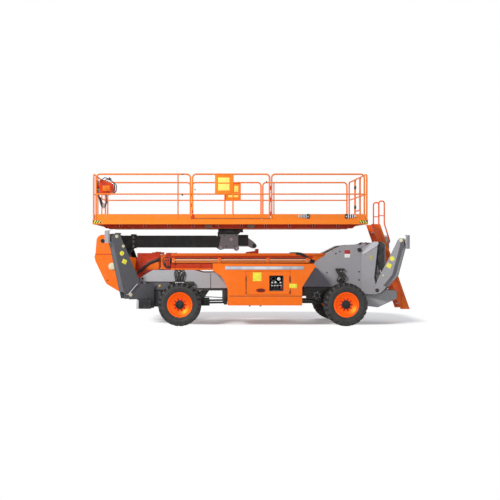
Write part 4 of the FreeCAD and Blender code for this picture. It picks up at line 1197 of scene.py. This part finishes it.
class LIFT_OT_mount_fittings(bpy.types.Operator):
    """Slewing gear, covers, bolts and roller of the platform mount, and the arm's collar straps"""
    bl_idname = "lift.mount_fittings"
    bl_label = "Mount fittings"
    TEETH = 60

    def execute(self, context):
        coat("platform_mount", mount_enamel())
        self.covers()
        self.guards()
        self.cheeks()
        self.arm_straps()
        return {"FINISHED"}

    def covers(self):
        """Black slewing gear with its motor, and the cover between the cheeks."""
        gear = Shape()
        gear.drum((DECK_MIDDLE_X, 0, 2.353), UP, 0.256, 0.116, 72, bevel=0.004)
        half_tooth = Vector((0.007, 0.006, 0.024))
        for i in range(self.TEETH):
            a = 2 * math.pi * i / self.TEETH
            spot = Vector((DECK_MIDDLE_X + 0.262 * math.cos(a), 0.262 * math.sin(a), 2.352))
            gear.block(spot - half_tooth, spot + half_tooth, 0.0, Matrix.Rotation(a, 4, "Z"))
        gear.drum((-0.262, -0.10, 2.328), UP, 0.052, 0.080, 28, bevel=0.006)
        gear.block((-0.318, -0.160, 2.285), (-0.206, -0.040, 2.310), 0.005)
        gear.done("slew_gear", black(), "platform_mount", "black_paint")
        cover = Shape()
        cover.block((-0.332, -0.132, 1.950), (-0.078, 0.132, 2.224), 0.012)
        cover.block((-0.300, -0.138, 1.985), (-0.110, 0.138, 2.190), 0.010)
        cover.block((-0.745, -0.150, 2.215), (-0.340, 0.150, 2.265), 0.010)
        cover.done("mount_cover", black(), "platform_mount", "black_paint")
        roller = Shape()
        for side in (-1, 1):
            roller.drum((0.080, side * 0.110, 1.945), (0, side, 0), 0.050, 0.012, 36, bevel=0.003)
            roller.drum((0.080, side * 0.119, 1.945), (0, side, 0), 0.020, 0.008, 20, bevel=0.002)
        roller.done("nose_roller_caps", black_plastic(), "platform_mount", "grey_plastic")

    def guards(self):
        """Black guards beside the arm's end and the skirt under the slewing gear."""
        guards = Shape()
        for side in (-1, 1):
            guards.web(side, ARM_END_GUARD, (0.150, 0.160))
            for x, z in ((-0.915, 2.150), (-0.915, 2.050), (-0.915, 1.950), (-0.820, 2.235)):
                guards.bolt((x, side * 0.160, z), (0, side, 0), 0.014, 0.010)
            guards.web(side, GEAR_SKIRT, (0.184, 0.196))
            for i in range(5):
                guards.plate(side, (-0.770 + i * 0.100, -0.740 + i * 0.100), (0.184, 0.204), (2.250, 2.385), 0.003)
        guards.done("mount_guards", black(), "platform_mount", "black_paint")

    def cheeks(self):
        """Stiffening plates, pin caps and screws on the cheeks' outer faces."""
        plates, caps, screws, knob = (Shape() for _ in range(4))
        for side in (-1, 1):
            plates.web(side, CHEEK_PLATE, (CHEEK_FACE, CHEEK_FACE + 0.010))
            plates.web(side, CHEEK_BOSS, (CHEEK_FACE, CHEEK_FACE + 0.022))
            for x, z, radius in ((LEVEL_PIVOT.x, LEVEL_PIVOT.z, 0.042), (-0.370, 1.880, 0.036)):
                caps.drum((x, side * 0.200, z), (0, side, 0), radius, 0.012, 36, bevel=0.003)
            # A white knob on each cheek's pin: a real cap whose white also paints the glint of chrome.
            knob.drum((-0.513, side * (CHEEK_FACE + 0.028), 2.108), (0, side, 0), 0.040, 0.014, 36, bevel=0.004)
            for x, z in CHEEK_SCREWS:
                screws.bolt((x, side * (CHEEK_FACE + 0.010), z), (0, side, 0), 0.010, 0.008)
            screws.bolt((-0.800, side * CHEEK_FACE, 2.300), (0, side, 0), 0.014, 0.012)
        plates.done("mount_cheek_plates", mount_enamel(), "platform_mount", "dark_grey_paint")
        knob.done("mount_pin_knob_glints", dial_white(), "platform_mount", "light_grey_paint")
        caps.done("mount_pin_caps", silver_grey(), "platform_mount", "light_grey_paint")
        screws.done("mount_screws", black(), "platform_mount", "black_paint")

    def arm_straps(self):
        """Bolted straps on the arm's collar."""
        straps = Shape()
        for side in (-1, 1):
            for z in (1.900, 2.012, 2.125):
                straps.plate(side, (-3.005, -2.962), (0.168, 0.173), (z, z + 0.070), 0.003)
                for dz in (0.015, 0.055):
                    straps.bolt((-2.984, side * 0.173, z + dz), (0, side, 0), 0.007, 0.005)
        straps.done("arm_collar_straps", steel_grey(), "upper_arm", "dark_grey_paint")


BRACKET_GUSSET = [(-2.520, 1.040), (-2.060, 1.040), (-2.035, 0.990), (-2.060, 0.905),
                  (-2.200, 0.862), (-2.430, 0.862), (-2.520, 0.900)]
# Outline of the pale sheet on each rear beam's side: painted light over the beam's shade
REAR_BEAM_LIT_SHEET = [(2.764, 0.700), (2.852, 0.464), (3.096, 0.434), (3.558, 0.648),
                  (3.548, 0.830), (2.900, 0.850), (2.764, 0.850)]
FRAME_CHEEK = [(1.205, 0.930), (1.225, 0.990), (1.495, 1.400), (1.600, 1.384), (2.040, 0.985), (1.960, 0.930)]
PEDESTAL_SIDE = [(1.506, 1.470), (1.530, 1.545), (1.700, 1.655), (1.866, 1.763), (2.224, 1.943), (2.470, 1.970),
                 (2.668, 1.962), (2.668, 0.860), (2.020, 0.860), (1.885, 1.030), (1.600, 1.384)]
BRACKET_HALF_WIDTH = 0.092
RAM_GUSSET = [(-0.390, 0.905), (-0.345, 0.870), (-0.020, 1.075), (0.030, 1.130),
              (0.010, 1.180), (-0.060, 1.185), (-0.130, 1.165)]
RAM_GUARD = [(-0.060, 1.176), (0.090, 1.180), (0.160, 1.120), (0.158, 0.900), (0.150, 0.470),
             (0.115, 0.420), (0.070, 0.440), (0.020, 0.960), (-0.060, 1.020)]


class LIFT_OT_chassis_fittings(bpy.types.Operator):
    """Hoses, lamps, link rods and small plates between the wheels and the frame"""
    bl_idname = "lift.chassis_fittings"
    bl_label = "Chassis fittings"
    PUMP = Vector((1.585, 0, 0.720))
    ROD_FRONT, ROD_REAR = -1.63, -0.66

    def execute(self, context):
        self.front_hoses()
        self.link_rods()
        self.side_bits()
        self.step_fronts()
        self.rear_hoses()
        self.drive()
        return {"FINISHED"}

    def front_hoses(self):
        """Bundle that hangs from the frame to each front axle end, with bright unions."""
        runs, unions, bracket = [], Shape(), Shape()
        for side in (-1, 1):
            for i in range(7):
                x = -1.905 + i * 0.032
                y = side * (0.690 + 0.024 * (i % 2))
                drop = 0.012 * (i % 3)
                runs.append([(x + 0.015, side * 0.655, 1.345 - drop), (x - 0.006, y, 1.350 - drop),
                             (x - 0.020 + 0.012 * i, y + side * 0.018, 1.25),
                             (x + 0.018 * (i % 2), y + side * 0.014, 1.14), (x + 0.010, y, 1.03),
                             (x + 0.030, side * 0.690, 0.93), (x + 0.040, side * 0.660, 0.85)])
                unions.drum((x - 0.004, y + side * 0.004, 1.312 - 0.020 * (i % 3)), UP, 0.017, 0.022, 6)
                unions.drum((x + 0.012, y + side * 0.002, 1.035), UP, 0.018, 0.028, 6)
            for z in ((1.300, 1.338), (1.015, 1.040)):
                bracket.plate(side, (-1.930, -1.690), (0.659, 0.684), z, 0.004)
        hose("front_hoses", runs, sizes().hose, black_hose(), "chassis", "black_paint")
        unions.done("front_hose_unions", chrome(), "chassis", "chromed_rod")
        bracket.done("front_hose_brackets", black(), "chassis", "black_paint")

    def link_rods(self):
        """Slim rods with eyes that tie the front axle back to the frame."""
        slim, stout, eyes = [], [], Shape()
        for side in (-1, 1):
            for rods, front_z, rear_z, y in ((slim, 0.640, 0.590, side * 0.62), (stout, 0.520, 0.535, side * 0.50)):
                rods.append([(self.ROD_FRONT, y, front_z),
                             (self.ROD_FRONT * 0.6 + self.ROD_REAR * 0.4, y, front_z * 0.6 + rear_z * 0.4),
                             (self.ROD_REAR, y, rear_z)])
                eyes.drum((self.ROD_FRONT + 0.03, y, front_z), (0, 1, 0), 0.042, 0.060, 24, bevel=0.004)
                eyes.drum((self.ROD_REAR - 0.01, y, rear_z), (0, 1, 0), 0.036, 0.060, 24, bevel=0.004)
            eyes.plate(side, (-0.72, -0.62), (0.46, 0.66), (0.555, 0.860), 0.006)
            eyes.plate(side, (-0.71, -0.63), (0.46, 0.66), (0.490, 0.556), 0.006)
            eyes.plate(side, (-1.270, -1.060), (0.455, 0.545), (0.455, 0.600), 0.012)
            eyes.plate(side, (-1.330, -1.265), (0.470, 0.530), (0.480, 0.680), 0.010)
            eyes.web(side, [(-1.30, 0.850), (-1.06, 0.850), (-1.20, 0.640), (-1.28, 0.640)], (0.50, 0.516))
        hose("axle_link_rods", slim, 0.011, black(), "chassis", "black_paint")
        hose("axle_tie_bars", stout, 0.024, black(), "chassis", "black_paint")
        eyes.done("axle_link_eyes", black(), "chassis", "black_paint")

    def side_bits(self):
        """Side lamps, plate seams, skins and blank plates on the frame and the pedestal; the rear beams' pale skins
        are painted light over their shade.
        """
        lamps, seams, red, pale, skins = (Shape() for _ in range(5))
        for side in (-1, 1):
            for x in (-1.63, -1.46):
                lamps.drum((x, side * 0.700, 0.995), (0, side, 0), 0.048, 0.078, 32, bevel=0.014)
            lamps.plate(side, (-1.63, -1.46), (0.660, 0.738), (0.948, 1.042), 0.010)
            for x, z in (((-1.042, -1.026), (0.900, 1.262)), ((-1.240, -0.560), (0.858, 0.884))):
                seams.plate(side, x, (FRAME_FACE, FRAME_FACE + 0.0025), z, 0.001)
            for shape, z in ((red, (1.742, 1.835)), (pale, (1.650, 1.742))):
                shape.plate(side, (2.265, 2.400), (PEDESTAL_FACE, PEDESTAL_FACE + 0.004), z, 0.0012)
            # Pale grey sheets over the rear beams: painted light that lifts them out of their shade.
            skins.web(side, REAR_BEAM_LIT_SHEET, (0.6195, 0.6240))
            for x, z in ((3.500, 0.780), (2.900, 0.800), (3.120, 0.480)):
                skins.bolt((x, side * 0.624, z), (0, side, 0), 0.012, 0.009)
        skins.done("rear_beam_painted_light", pale_grey(), "chassis", "light_grey_paint")
        lamps.done("side_lamps", plastic("lamp_housing", (0.020, 0.026, 0.016), 0.25), "chassis", "grey_plastic")
        seams.done("frame_seams", black(), "chassis", "black_paint")
        plate_red = enamel("plate_red", (0.42, 0.02, 0.02), 0.35, 0.02)
        red.done("pedestal_red_plates", plate_red, "chassis", "red_orange_paint")
        pale.done("pedestal_white_plates", white(), "chassis", "pale_steel")
        self.ram_gussets()

    def ram_gussets(self):
        """Pale plates and round blank plates on the rear brackets, and the guards of their rams."""
        gusset, disc, guards = Shape(), Shape(), {}
        for name, side in SIDES.items():
            pivot, out, outer = leg_axes(joint_named(f"outrigger_rear_{name}_swing"), "rear", side)

            def spot(reach, height, away):
                return pivot + out * reach + UP * height + outer * away

            faces = (BRACKET_HALF_WIDTH, BRACKET_HALF_WIDTH + 0.014)
            gusset.slab(*([spot(*pair, away) for pair in RAM_GUSSET] for away in faces))
            disc.drum(spot(-0.169, 0.793, BRACKET_HALF_WIDTH + 0.001), outer, 0.055, 0.004, 40)
            for reach, height in ((-0.335, 0.905), (-0.010, 1.135)):
                gusset.drum(spot(reach, height, BRACKET_HALF_WIDTH + 0.018), outer, 0.020, 0.010, 24, bevel=0.002)
            guards[name] = Shape().slab(*([spot(*pair, away) for pair in RAM_GUARD] for away in (-0.056, 0.056)))
        gusset.done("ram_gussets", silver_grey(), "chassis", "light_grey_paint")
        faded = enamel("faded_plate", (0.36, 0.35, 0.15), 0.5, 0.05)
        disc.done("bracket_discs", faded, "chassis", "light_grey_paint")
        for name, guard in guards.items():
            guard.done(f"ram_guard_{name}", black(), f"outrigger_ram_rear_{name}", "black_paint")

    def step_fronts(self):
        """Bright front covers and black walls of the hanging boxes, and the round plugs on the brackets."""
        covers, walls, inner, plugs, gussets = (Shape() for _ in range(5))
        for side in (-1, 1):
            covers.plate(side, (-2.832, -2.776), (0.852, 1.124), (0.422, 0.634), 0.010)
            walls.plate(side, (-2.772, -2.482), (0.852, 1.121), (0.417, 0.618), 0.008)
            walls.plate(side, (-2.790, -2.470), (0.852, 1.121), (0.622, 0.642), 0.004)
            inner.plate(side, (-2.445, -2.290), (0.470, 0.620), (0.435, 0.640), 0.008)
            inner.plate(side, (-2.465, -2.270), (0.470, 0.620), (0.630, 0.880), 0.008)
            plugs.drum((-2.290, side * 0.679, 0.950), (0, side, 0), 0.034, 0.012, 32, bevel=0.003)
            gussets.web(side, BRACKET_GUSSET, (FRAME_FACE - 0.0005, FRAME_FACE + 0.014))
            for x, z in ((-2.10, 1.00), (-2.22, 1.00), (-2.10, 0.93)):
                gussets.bolt((x, side * (FRAME_FACE + 0.014), z), (0, side, 0), 0.012, 0.009)
        covers.done("step_box_fronts", silver_grey(), "chassis", "light_grey_paint")
        walls.done("step_box_walls", black(), "chassis", "black_paint")
        inner.done("step_box_inner_walls", dark_grey(), "chassis", "dark_grey_paint")
        gussets.done("bracket_gussets", dark_grey(), "chassis", "dark_grey_paint")
        plugs.done("bracket_plugs", metal("brass_plug", (0.42, 0.30, 0.10), 0.40), "chassis", "pale_steel")

    def rear_hoses(self):
        """Hose loops on the pedestal above each rear wheel."""
        runs, valve, unions = [], Shape(), Shape()
        for side in (-1, 1):
            for i in range(5):
                x = 2.075 + i * 0.040
                y = side * (0.724 + 0.026 * (i % 2))
                swing = 0.030 * (i % 3)
                runs.append([(x - 0.020, side * 0.700, 1.350), (x - 0.030, y, 1.345),
                             (x + 0.012 - swing, y + side * 0.016, 1.265), (x + 0.058, y, 1.215 - swing),
                             (x + 0.018 + swing, y + side * 0.012, 1.150), (x - 0.010, y, 1.095),
                             (x + 0.030, side * 0.700, 1.045)])
                unions.drum((x - 0.018, side * 0.716, 1.312), UP, 0.018, 0.022, 6)
            valve.plate(side, (2.040, 2.255), (0.671, 0.748), (1.335, 1.385), 0.008)
            valve.plate(side, (2.110, 2.210), (0.671, 0.748), (1.195, 1.250), 0.008)
            valve.drum((2.150, side * 0.760, 1.222), (0, side, 0), 0.024, 0.030, 20, bevel=0.003)
        hose("rear_hoses", runs, sizes().hose * 1.15, black_hose(), "chassis", "black_paint")
        valve.done("rear_valve_blocks", black(), "chassis", "black_paint")
        unions.done("rear_hose_unions", chrome(), "chassis", "chromed_rod")

    def drive(self):
        """Black pump case, shaft and frame plates between the housings and the rear wheels."""
        case, rims, plates, skins = (Shape() for _ in range(4))
        for side in (-1, 1):
            axis = (0, side, 0)
            for x, y, z, bevel in (((1.250, 2.030), (0.480, 0.640), (0.700, 0.925), 0.020),
                                   ((1.330, 1.760), (0.480, 0.640), (0.640, 0.720), 0.030),
                                   ((1.160, 1.800), (0.530, 0.590), (0.518, 0.584), 0.020),
                                   ((1.640, 1.780), (0.515, 0.605), (0.560, 0.680), 0.015)):
                case.plate(side, x, y, z, bevel)
            for x, z, radius in ((self.PUMP.x, self.PUMP.z, 0.120), (1.840, 0.700, 0.085)):
                case.drum((x, side * 0.648, z), axis, radius, 0.040, 44, bevel=0.008)
            rims.ring((self.PUMP.x, side * 0.670, self.PUMP.z), (0, 1, 0), 0.066, 0.012, 44, 8)
            for i in range(6):
                rims.bolt(about(self.PUMP, 0.098, math.radians(60 * i + 20), side * 0.668), axis, 0.009, 0.007)
            plates.web(side, FRAME_CHEEK, (FRAME_FACE + 0.0005, FRAME_FACE + 0.010))
            skins.web(side, PEDESTAL_SIDE, (FRAME_FACE + 0.0005, PEDESTAL_FACE))
            for x, z in ((1.600, 1.500), (1.640, 1.420), (1.820, 1.240)):
                skins.bolt((x, side * PEDESTAL_FACE, z), axis, 0.010, 0.008)
        case.done("pump_cases", black(), "chassis", "black_paint")
        rims.done("pump_rings", steel_grey(), "chassis", "dark_grey_paint")
        plates.done("frame_cheek_plates", slate(), "chassis", "dark_grey_paint")
        skins.done("pedestal_skins", light_grey(), "chassis", "light_grey_paint")


class LIFT_OT_console_fittings(bpy.types.Operator):
    """Levers, guard, switches and held cables of the platform console"""
    bl_idname = "lift.console_fittings"
    bl_label = "Console fittings"

    def execute(self, context):
        # The console takes the boom's deep shade colour, orange darkened as in shade.
        coat("control_console", deep_shade_enamel())
        low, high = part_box("control_console")
        slope = Vector((0.230, 0.0, -0.120)).normalized()
        up = Vector((0.120, 0.0, 0.230)).normalized()
        corner = Vector((high.x - 0.230, 0.0, high.z))
        turn = Matrix.Rotation(math.atan2(0.120, 0.230), 4, "Y")

        def spot(run, y, rise=0.0):
            return corner + slope * run + up * rise + Vector((0, y, 0))

        plate = Shape()
        middle = spot(0.130, -0.540, 0.003)
        plate.block(middle - Vector((0.112, 0.196, 0.003)), middle + Vector((0.112, 0.196, 0.003)), 0.002, turn)
        plate.done("console_plate", plastic("console_plate", (0.035, 0.036, 0.040), 0.4), "platform", "grey_plastic")
        levers, knobs = Shape(), Shape()
        for y in (-0.680, -0.400):
            levers.drum(spot(0.085, y, 0.022), up, 0.034, 0.032, 28, top=0.016, bevel=0.002)
            levers.drum(spot(0.085, y, 0.058), up, 0.007, 0.060, 14)
            knobs.drum(spot(0.085, y, 0.096), up, 0.017, 0.046, 24, top=0.021, bevel=0.006)
        for i in range(5):
            knobs.drum(spot(0.060 + 0.044 * (i % 2), -0.600 + 0.030 * i, 0.014), up, 0.010, 0.018, 20, bevel=0.002)
            levers.drum(spot(0.185, -0.640 + 0.050 * i, 0.018), up, 0.004, 0.028, 10)
        levers.done("console_levers", chrome(), "platform", "chromed_rod")
        knobs.done("console_knobs", black_plastic(), "platform", "black_paint")
        stop = Shape()
        stop.drum(spot(0.180, -0.395, 0.016), up, 0.024, 0.024, 32, top=0.021, bevel=0.004)
        stop.done("console_stop", stop_red(), "platform", "red_orange_paint")
        guards = []
        for y in (-0.768, -0.312):
            down = [Vector((high.x + dx, y, high.z - dz))
                    for dx, dz in ((0.026, 0.190), (0.016, 0.265), (-0.045, 0.300))]
            guards.append([spot(-0.045, y, -0.030), spot(-0.030, y, 0.055), spot(0.060, y, 0.068),
                           spot(0.190, y, 0.066), spot(0.275, y, 0.030), *down])
        guards.append([spot(0.262, -0.768, 0.042), spot(0.262, -0.540, 0.042), spot(0.262, -0.312, 0.042)])
        hose("console_guard", guards, 0.011, black(), "platform", "black_paint")
        back = low.x + 0.030
        cables = []
        for i in range(4):
            y = -0.720 + 0.034 * i
            drop = 2.855 + 0.035 * i
            cables.append([(back + 0.190, y, 3.225), (back + 0.185, y, 3.150), (back + 0.215, y - 0.020, 3.020),
                           (back + 0.165, y - 0.030, drop), (back + 0.085, y - 0.030, drop + 0.030),
                           (back + 0.045, y - 0.015, drop + 0.170), (back + 0.012, y, 3.130),
                           (back + 0.006, y, 3.215)])
        hose("console_cables", cables, 0.010, black_hose(), "platform", "black_paint")
        collar = Shape()
        collar.block((back + 0.165, -0.740, 3.196), (back + 0.215, -0.600, 3.216), 0.004)
        collar.block((back - 0.012, -0.740, 3.205), (back + 0.020, -0.600, 3.245), 0.004)
        collar.done("console_cable_clamps", black_plastic(), "platform", "black_paint")
        box = Shape()
        box.block((back + 0.110, -0.754, 3.290), (back + 0.290, -0.749, 3.420), 0.004)
        for x, z in ((0.122, 3.302), (0.278, 3.302), (0.122, 3.408), (0.278, 3.408)):
            box.bolt((back + x, -0.754, z), (0, -1, 0), 0.006, 0.004)
        box.done("console_side_cover", deck_enamel(), "platform", "orange_paint")
        return {"FINISHED"}


class LIFT_OT_ladder_fittings(bpy.types.Operator):
    """Tread grips, edge flanges and bolts of the ladder; the ladder's redder enamel is painted shade and its orange
    edge flanges painted light
    """
    bl_idname = "lift.ladder_fittings"
    bl_label = "Ladder fittings"

    def execute(self, context):
        # The ladder's redder enamel: painted shade on its stringers.
        coat("access_ladder", ladder_shade_enamel())
        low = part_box("access_ladder")[0]
        top, foot = Vector((low.x, 0, 2.490)), Vector((low.x + 0.740, 0, 0.357))
        lean = (foot.x - top.x) / (top.z - foot.z)
        heights = [0.480 + 0.300 * step for step in range(7)]
        rungs = [(top.x + (top.z - z) * lean, z) for z in heights]
        grips, teeth, flanges, feet = (Shape() for _ in range(4))
        for x, z in rungs:
            grips.block((x + 0.026, -0.292, z + 0.013), (x + 0.196, 0.292, z + 0.020), 0.002)
            for i in range(15):
                for k in range(4):
                    teeth.drum((x + 0.048 + 0.042 * k, -0.266 + 0.038 * i, z + 0.022), UP, 0.011, 0.008, 8, top=0.007)
        rail = [(top.x + 0.150, top.z), (top.x + 0.220, top.z), (foot.x + 0.220, foot.z), (foot.x + 0.170, foot.z)]
        shoe = [(foot.x + dx, foot.z + dz) for dx, dz in ((0.070, 0.002), (0.220, 0.002), (0.165, 0.160),
                                                          (0.105, 0.290), (0.020, 0.330), (0.010, 0.170))]
        for side in (-1, 1):
            # Orange edge flanges: painted light on the stringers' lit edge, with real bolts.
            flanges.web(side, rail, (0.3295, 0.3430))
            for x, z in rungs:
                for dx in (0.060, 0.150):
                    flanges.bolt((x + dx, side * 0.330, z), (0, side, 0), 0.010, 0.008)
            feet.plate(side, (foot.x - 0.004, foot.x + 0.2200), (0.296, 0.334), (foot.z, foot.z + 0.040), 0.006)
            feet.web(side, shoe, (0.330, 0.346))
        grips.done("ladder_grips", grip_steel(), "chassis", "pale_steel")
        teeth.done("ladder_grip_teeth", grip_steel(), "chassis", "pale_steel")
        flanges.done("ladder_lit_edge_flanges", orange(), "chassis", "orange_paint")
        feet.done("ladder_feet", orange(), "chassis", "red_orange_paint")
        return {"FINISHED"}


def seen_rays(nodes, links):
    """1 for rays from the camera, and for those that metal or glass sends on."""
    path = nodes.new("ShaderNodeLightPath")
    value = path.outputs["Is Camera Ray"]
    for ray in ("Is Glossy Ray", "Is Transmission Ray"):
        either = nodes.new("ShaderNodeMath")
        either.operation = "MAXIMUM"
        links.new(value, either.inputs[0])
        links.new(path.outputs[ray], either.inputs[1])
        value = either.outputs[0]
    return value


# Name, place, size in metres and power in watts
LAMPS = (("key_lamp", (-11.0, -13.0, 11.0), 4.0, 3250.0),
         ("fill_lamp", (10.0, -14.0, 6.0), 8.0, 300.0),
         ("back_lamp", (3.0, 12.0, 12.0), 8.0, 700.0))
LAMP_TARGET = Vector((-0.5, 0.0, 1.5))
CAMERA_PLACE = (-1.225, -20.6, 1.788)
# Middle and half lengths, in metres, of the patch of floor that takes the machine's shadow
SHADOW_MIDDLE = (1.00, 1.45)
SHADOW_REACH = (3.50, 2.20)


class LIFT_OT_stage(bpy.types.Operator):
    """Floor, lights and camera"""
    bl_idname = "lift.stage"
    bl_label = "Stage"

    def execute(self, context):
        floor = Shape()
        floor.block((-60, -60, -0.02), (60, 60, 0.0))
        data = bpy.data.meshes.new("floor")
        floor.mesh.to_mesh(data)
        floor.mesh.free()
        piece = bpy.data.objects.new("floor", data)
        context.scene.collection.objects.link(piece)
        data.materials.append(self.floor_finish())
        self.sky()
        for name, place, size, power in LAMPS:
            self.lamp(name, place, size, power)
        camera = bpy.data.objects.new("camera", bpy.data.cameras.new("camera"))
        context.scene.collection.objects.link(camera)
        camera.location = CAMERA_PLACE
        camera.rotation_euler = (math.radians(90), 0, 0)
        camera.data.lens = 58.2
        camera.data.sensor_width = 36.0
        camera.data.shift_x = 0.094
        camera.data.shift_y = 0.004
        camera.data.clip_end = 300.0
        context.scene.camera = camera
        context.scene.view_settings.view_transform = "Standard"
        return {"FINISHED"}

    def floor_finish(self):
        """White where the camera looks, darkened only by the machine's own shadow."""
        f = Finish("pale_floor")
        nodes, links = f.tree.nodes, f.tree.links
        f.set("Base Color", (0.86, 0.87, 0.89))
        f.set("Roughness", 0.95)
        f.set("Specular IOR Level", 0.0)
        glow = nodes.new("ShaderNodeEmission")
        glow.inputs["Strength"].default_value = 0.22
        near = nodes.new("ShaderNodeAddShader")
        links.new(f.shader.outputs[0], near.inputs[0])
        links.new(glow.outputs[0], near.inputs[1])
        squares = []
        for axis, middle, reach in zip(f.axes(), SHADOW_MIDDLE, SHADOW_REACH):
            offset = (axis - middle) * (1 / reach)
            squares.append(offset * offset)
        distance = squares[0] * squares[0] + squares[1] * squares[1]
        away = f.add("ShaderNodeMapRange", {"interpolation_type": "SMOOTHSTEP"},
                     {0: distance, 1: 0.65, 2: 1.30, 3: 0.0, 4: 1.0})
        white = nodes.new("ShaderNodeEmission")
        shown = nodes.new("ShaderNodeMixShader")
        links.new(away.socket, shown.inputs[0])
        links.new(near.outputs[0], shown.inputs[1])
        links.new(white.outputs[0], shown.inputs[2])
        plain = nodes.new("ShaderNodeBsdfDiffuse")
        plain.inputs["Color"].default_value = (0.55, 0.55, 0.56, 1)
        mix = nodes.new("ShaderNodeMixShader")
        links.new(seen_rays(nodes, links), mix.inputs[0])
        links.new(plain.outputs[0], mix.inputs[1])
        links.new(shown.outputs[0], mix.inputs[2])
        links.new(mix.outputs[0], nodes["Material Output"].inputs["Surface"])
        return f.material

    def sky(self):
        """A pale sky behind the machine, and a dimmer one that lights it."""
        world = bpy.data.worlds.new("studio")
        bpy.context.scene.world = world
        world.use_nodes = True
        nodes, links = world.node_tree.nodes, world.node_tree.links
        plain = nodes["Background"]
        plain.inputs["Color"].default_value = (0.90, 0.95, 1.0, 1)
        plain.inputs["Strength"].default_value = 0.36
        shown = nodes.new("ShaderNodeBackground")
        shown.inputs["Color"].default_value = (1, 1, 1, 1)
        mix = nodes.new("ShaderNodeMixShader")
        links.new(seen_rays(nodes, links), mix.inputs[0])
        links.new(plain.outputs[0], mix.inputs[1])
        links.new(shown.outputs[0], mix.inputs[2])
        links.new(mix.outputs[0], nodes["World Output"].inputs["Surface"])

    def lamp(self, name, place, size, power):
        data = bpy.data.lights.new(name, "AREA")
        data.size = size
        data.energy = power
        lamp = bpy.data.objects.new(name, data)
        bpy.context.scene.collection.objects.link(lamp)
        lamp.location = place
        aim = LAMP_TARGET - Vector(place)
        lamp.rotation_euler = aim.to_track_quat("-Z", "Y").to_euler()


OPERATORS = [
    LIFT_OT_frame_finishes, LIFT_OT_wheel_fittings, LIFT_OT_tyres, LIFT_OT_housing_trim, LIFT_OT_ground_panel,
    LIFT_OT_pins, LIFT_OT_leg_plates, LIFT_OT_boom_dressing, LIFT_OT_mount_fittings, LIFT_OT_chassis_fittings,
    LIFT_OT_platform_trim, LIFT_OT_gate_signs, LIFT_OT_console_fittings, LIFT_OT_ladder_fittings,
]


# ---------------------------------------------------------------- add-on
class LIFT_PT_panel(bpy.types.Panel):
    """Sidebar list of the lift's pieces"""
    bl_idname = "LIFT_PT_panel"
    bl_label = "Boom lift"
    bl_space_type = "VIEW_3D"
    bl_region_type = "UI"
    bl_category = "Lift"

    def draw(self, context):
        layout = self.layout
        for group in (context.scene.lift_paint, context.scene.lift_sizes):
            column = layout.column(align=True)
            for key in group.__annotations__:
                column.prop(group, key)
        column = layout.column(align=True)
        for operator in OPERATORS + [LIFT_OT_stage]:
            column.operator(operator.bl_idname)


CLASSES = [LiftPaint, LiftSizes, *OPERATORS, LIFT_OT_stage, LIFT_PT_panel]


def register():
    for kind in CLASSES:
        bpy.utils.register_class(kind)
    bpy.types.Scene.lift_paint = bpy.props.PointerProperty(type=LiftPaint)
    bpy.types.Scene.lift_sizes = bpy.props.PointerProperty(type=LiftSizes)


def unregister():
    del bpy.types.Scene.lift_sizes
    del bpy.types.Scene.lift_paint
    for kind in reversed(CLASSES):
        bpy.utils.unregister_class(kind)


def main():
    register()
    for operator in OPERATORS + [LIFT_OT_stage]:
        group, verb = operator.bl_idname.split(".")
        getattr(getattr(bpy.ops, group), verb)()


if __name__ == "__main__":
    main()
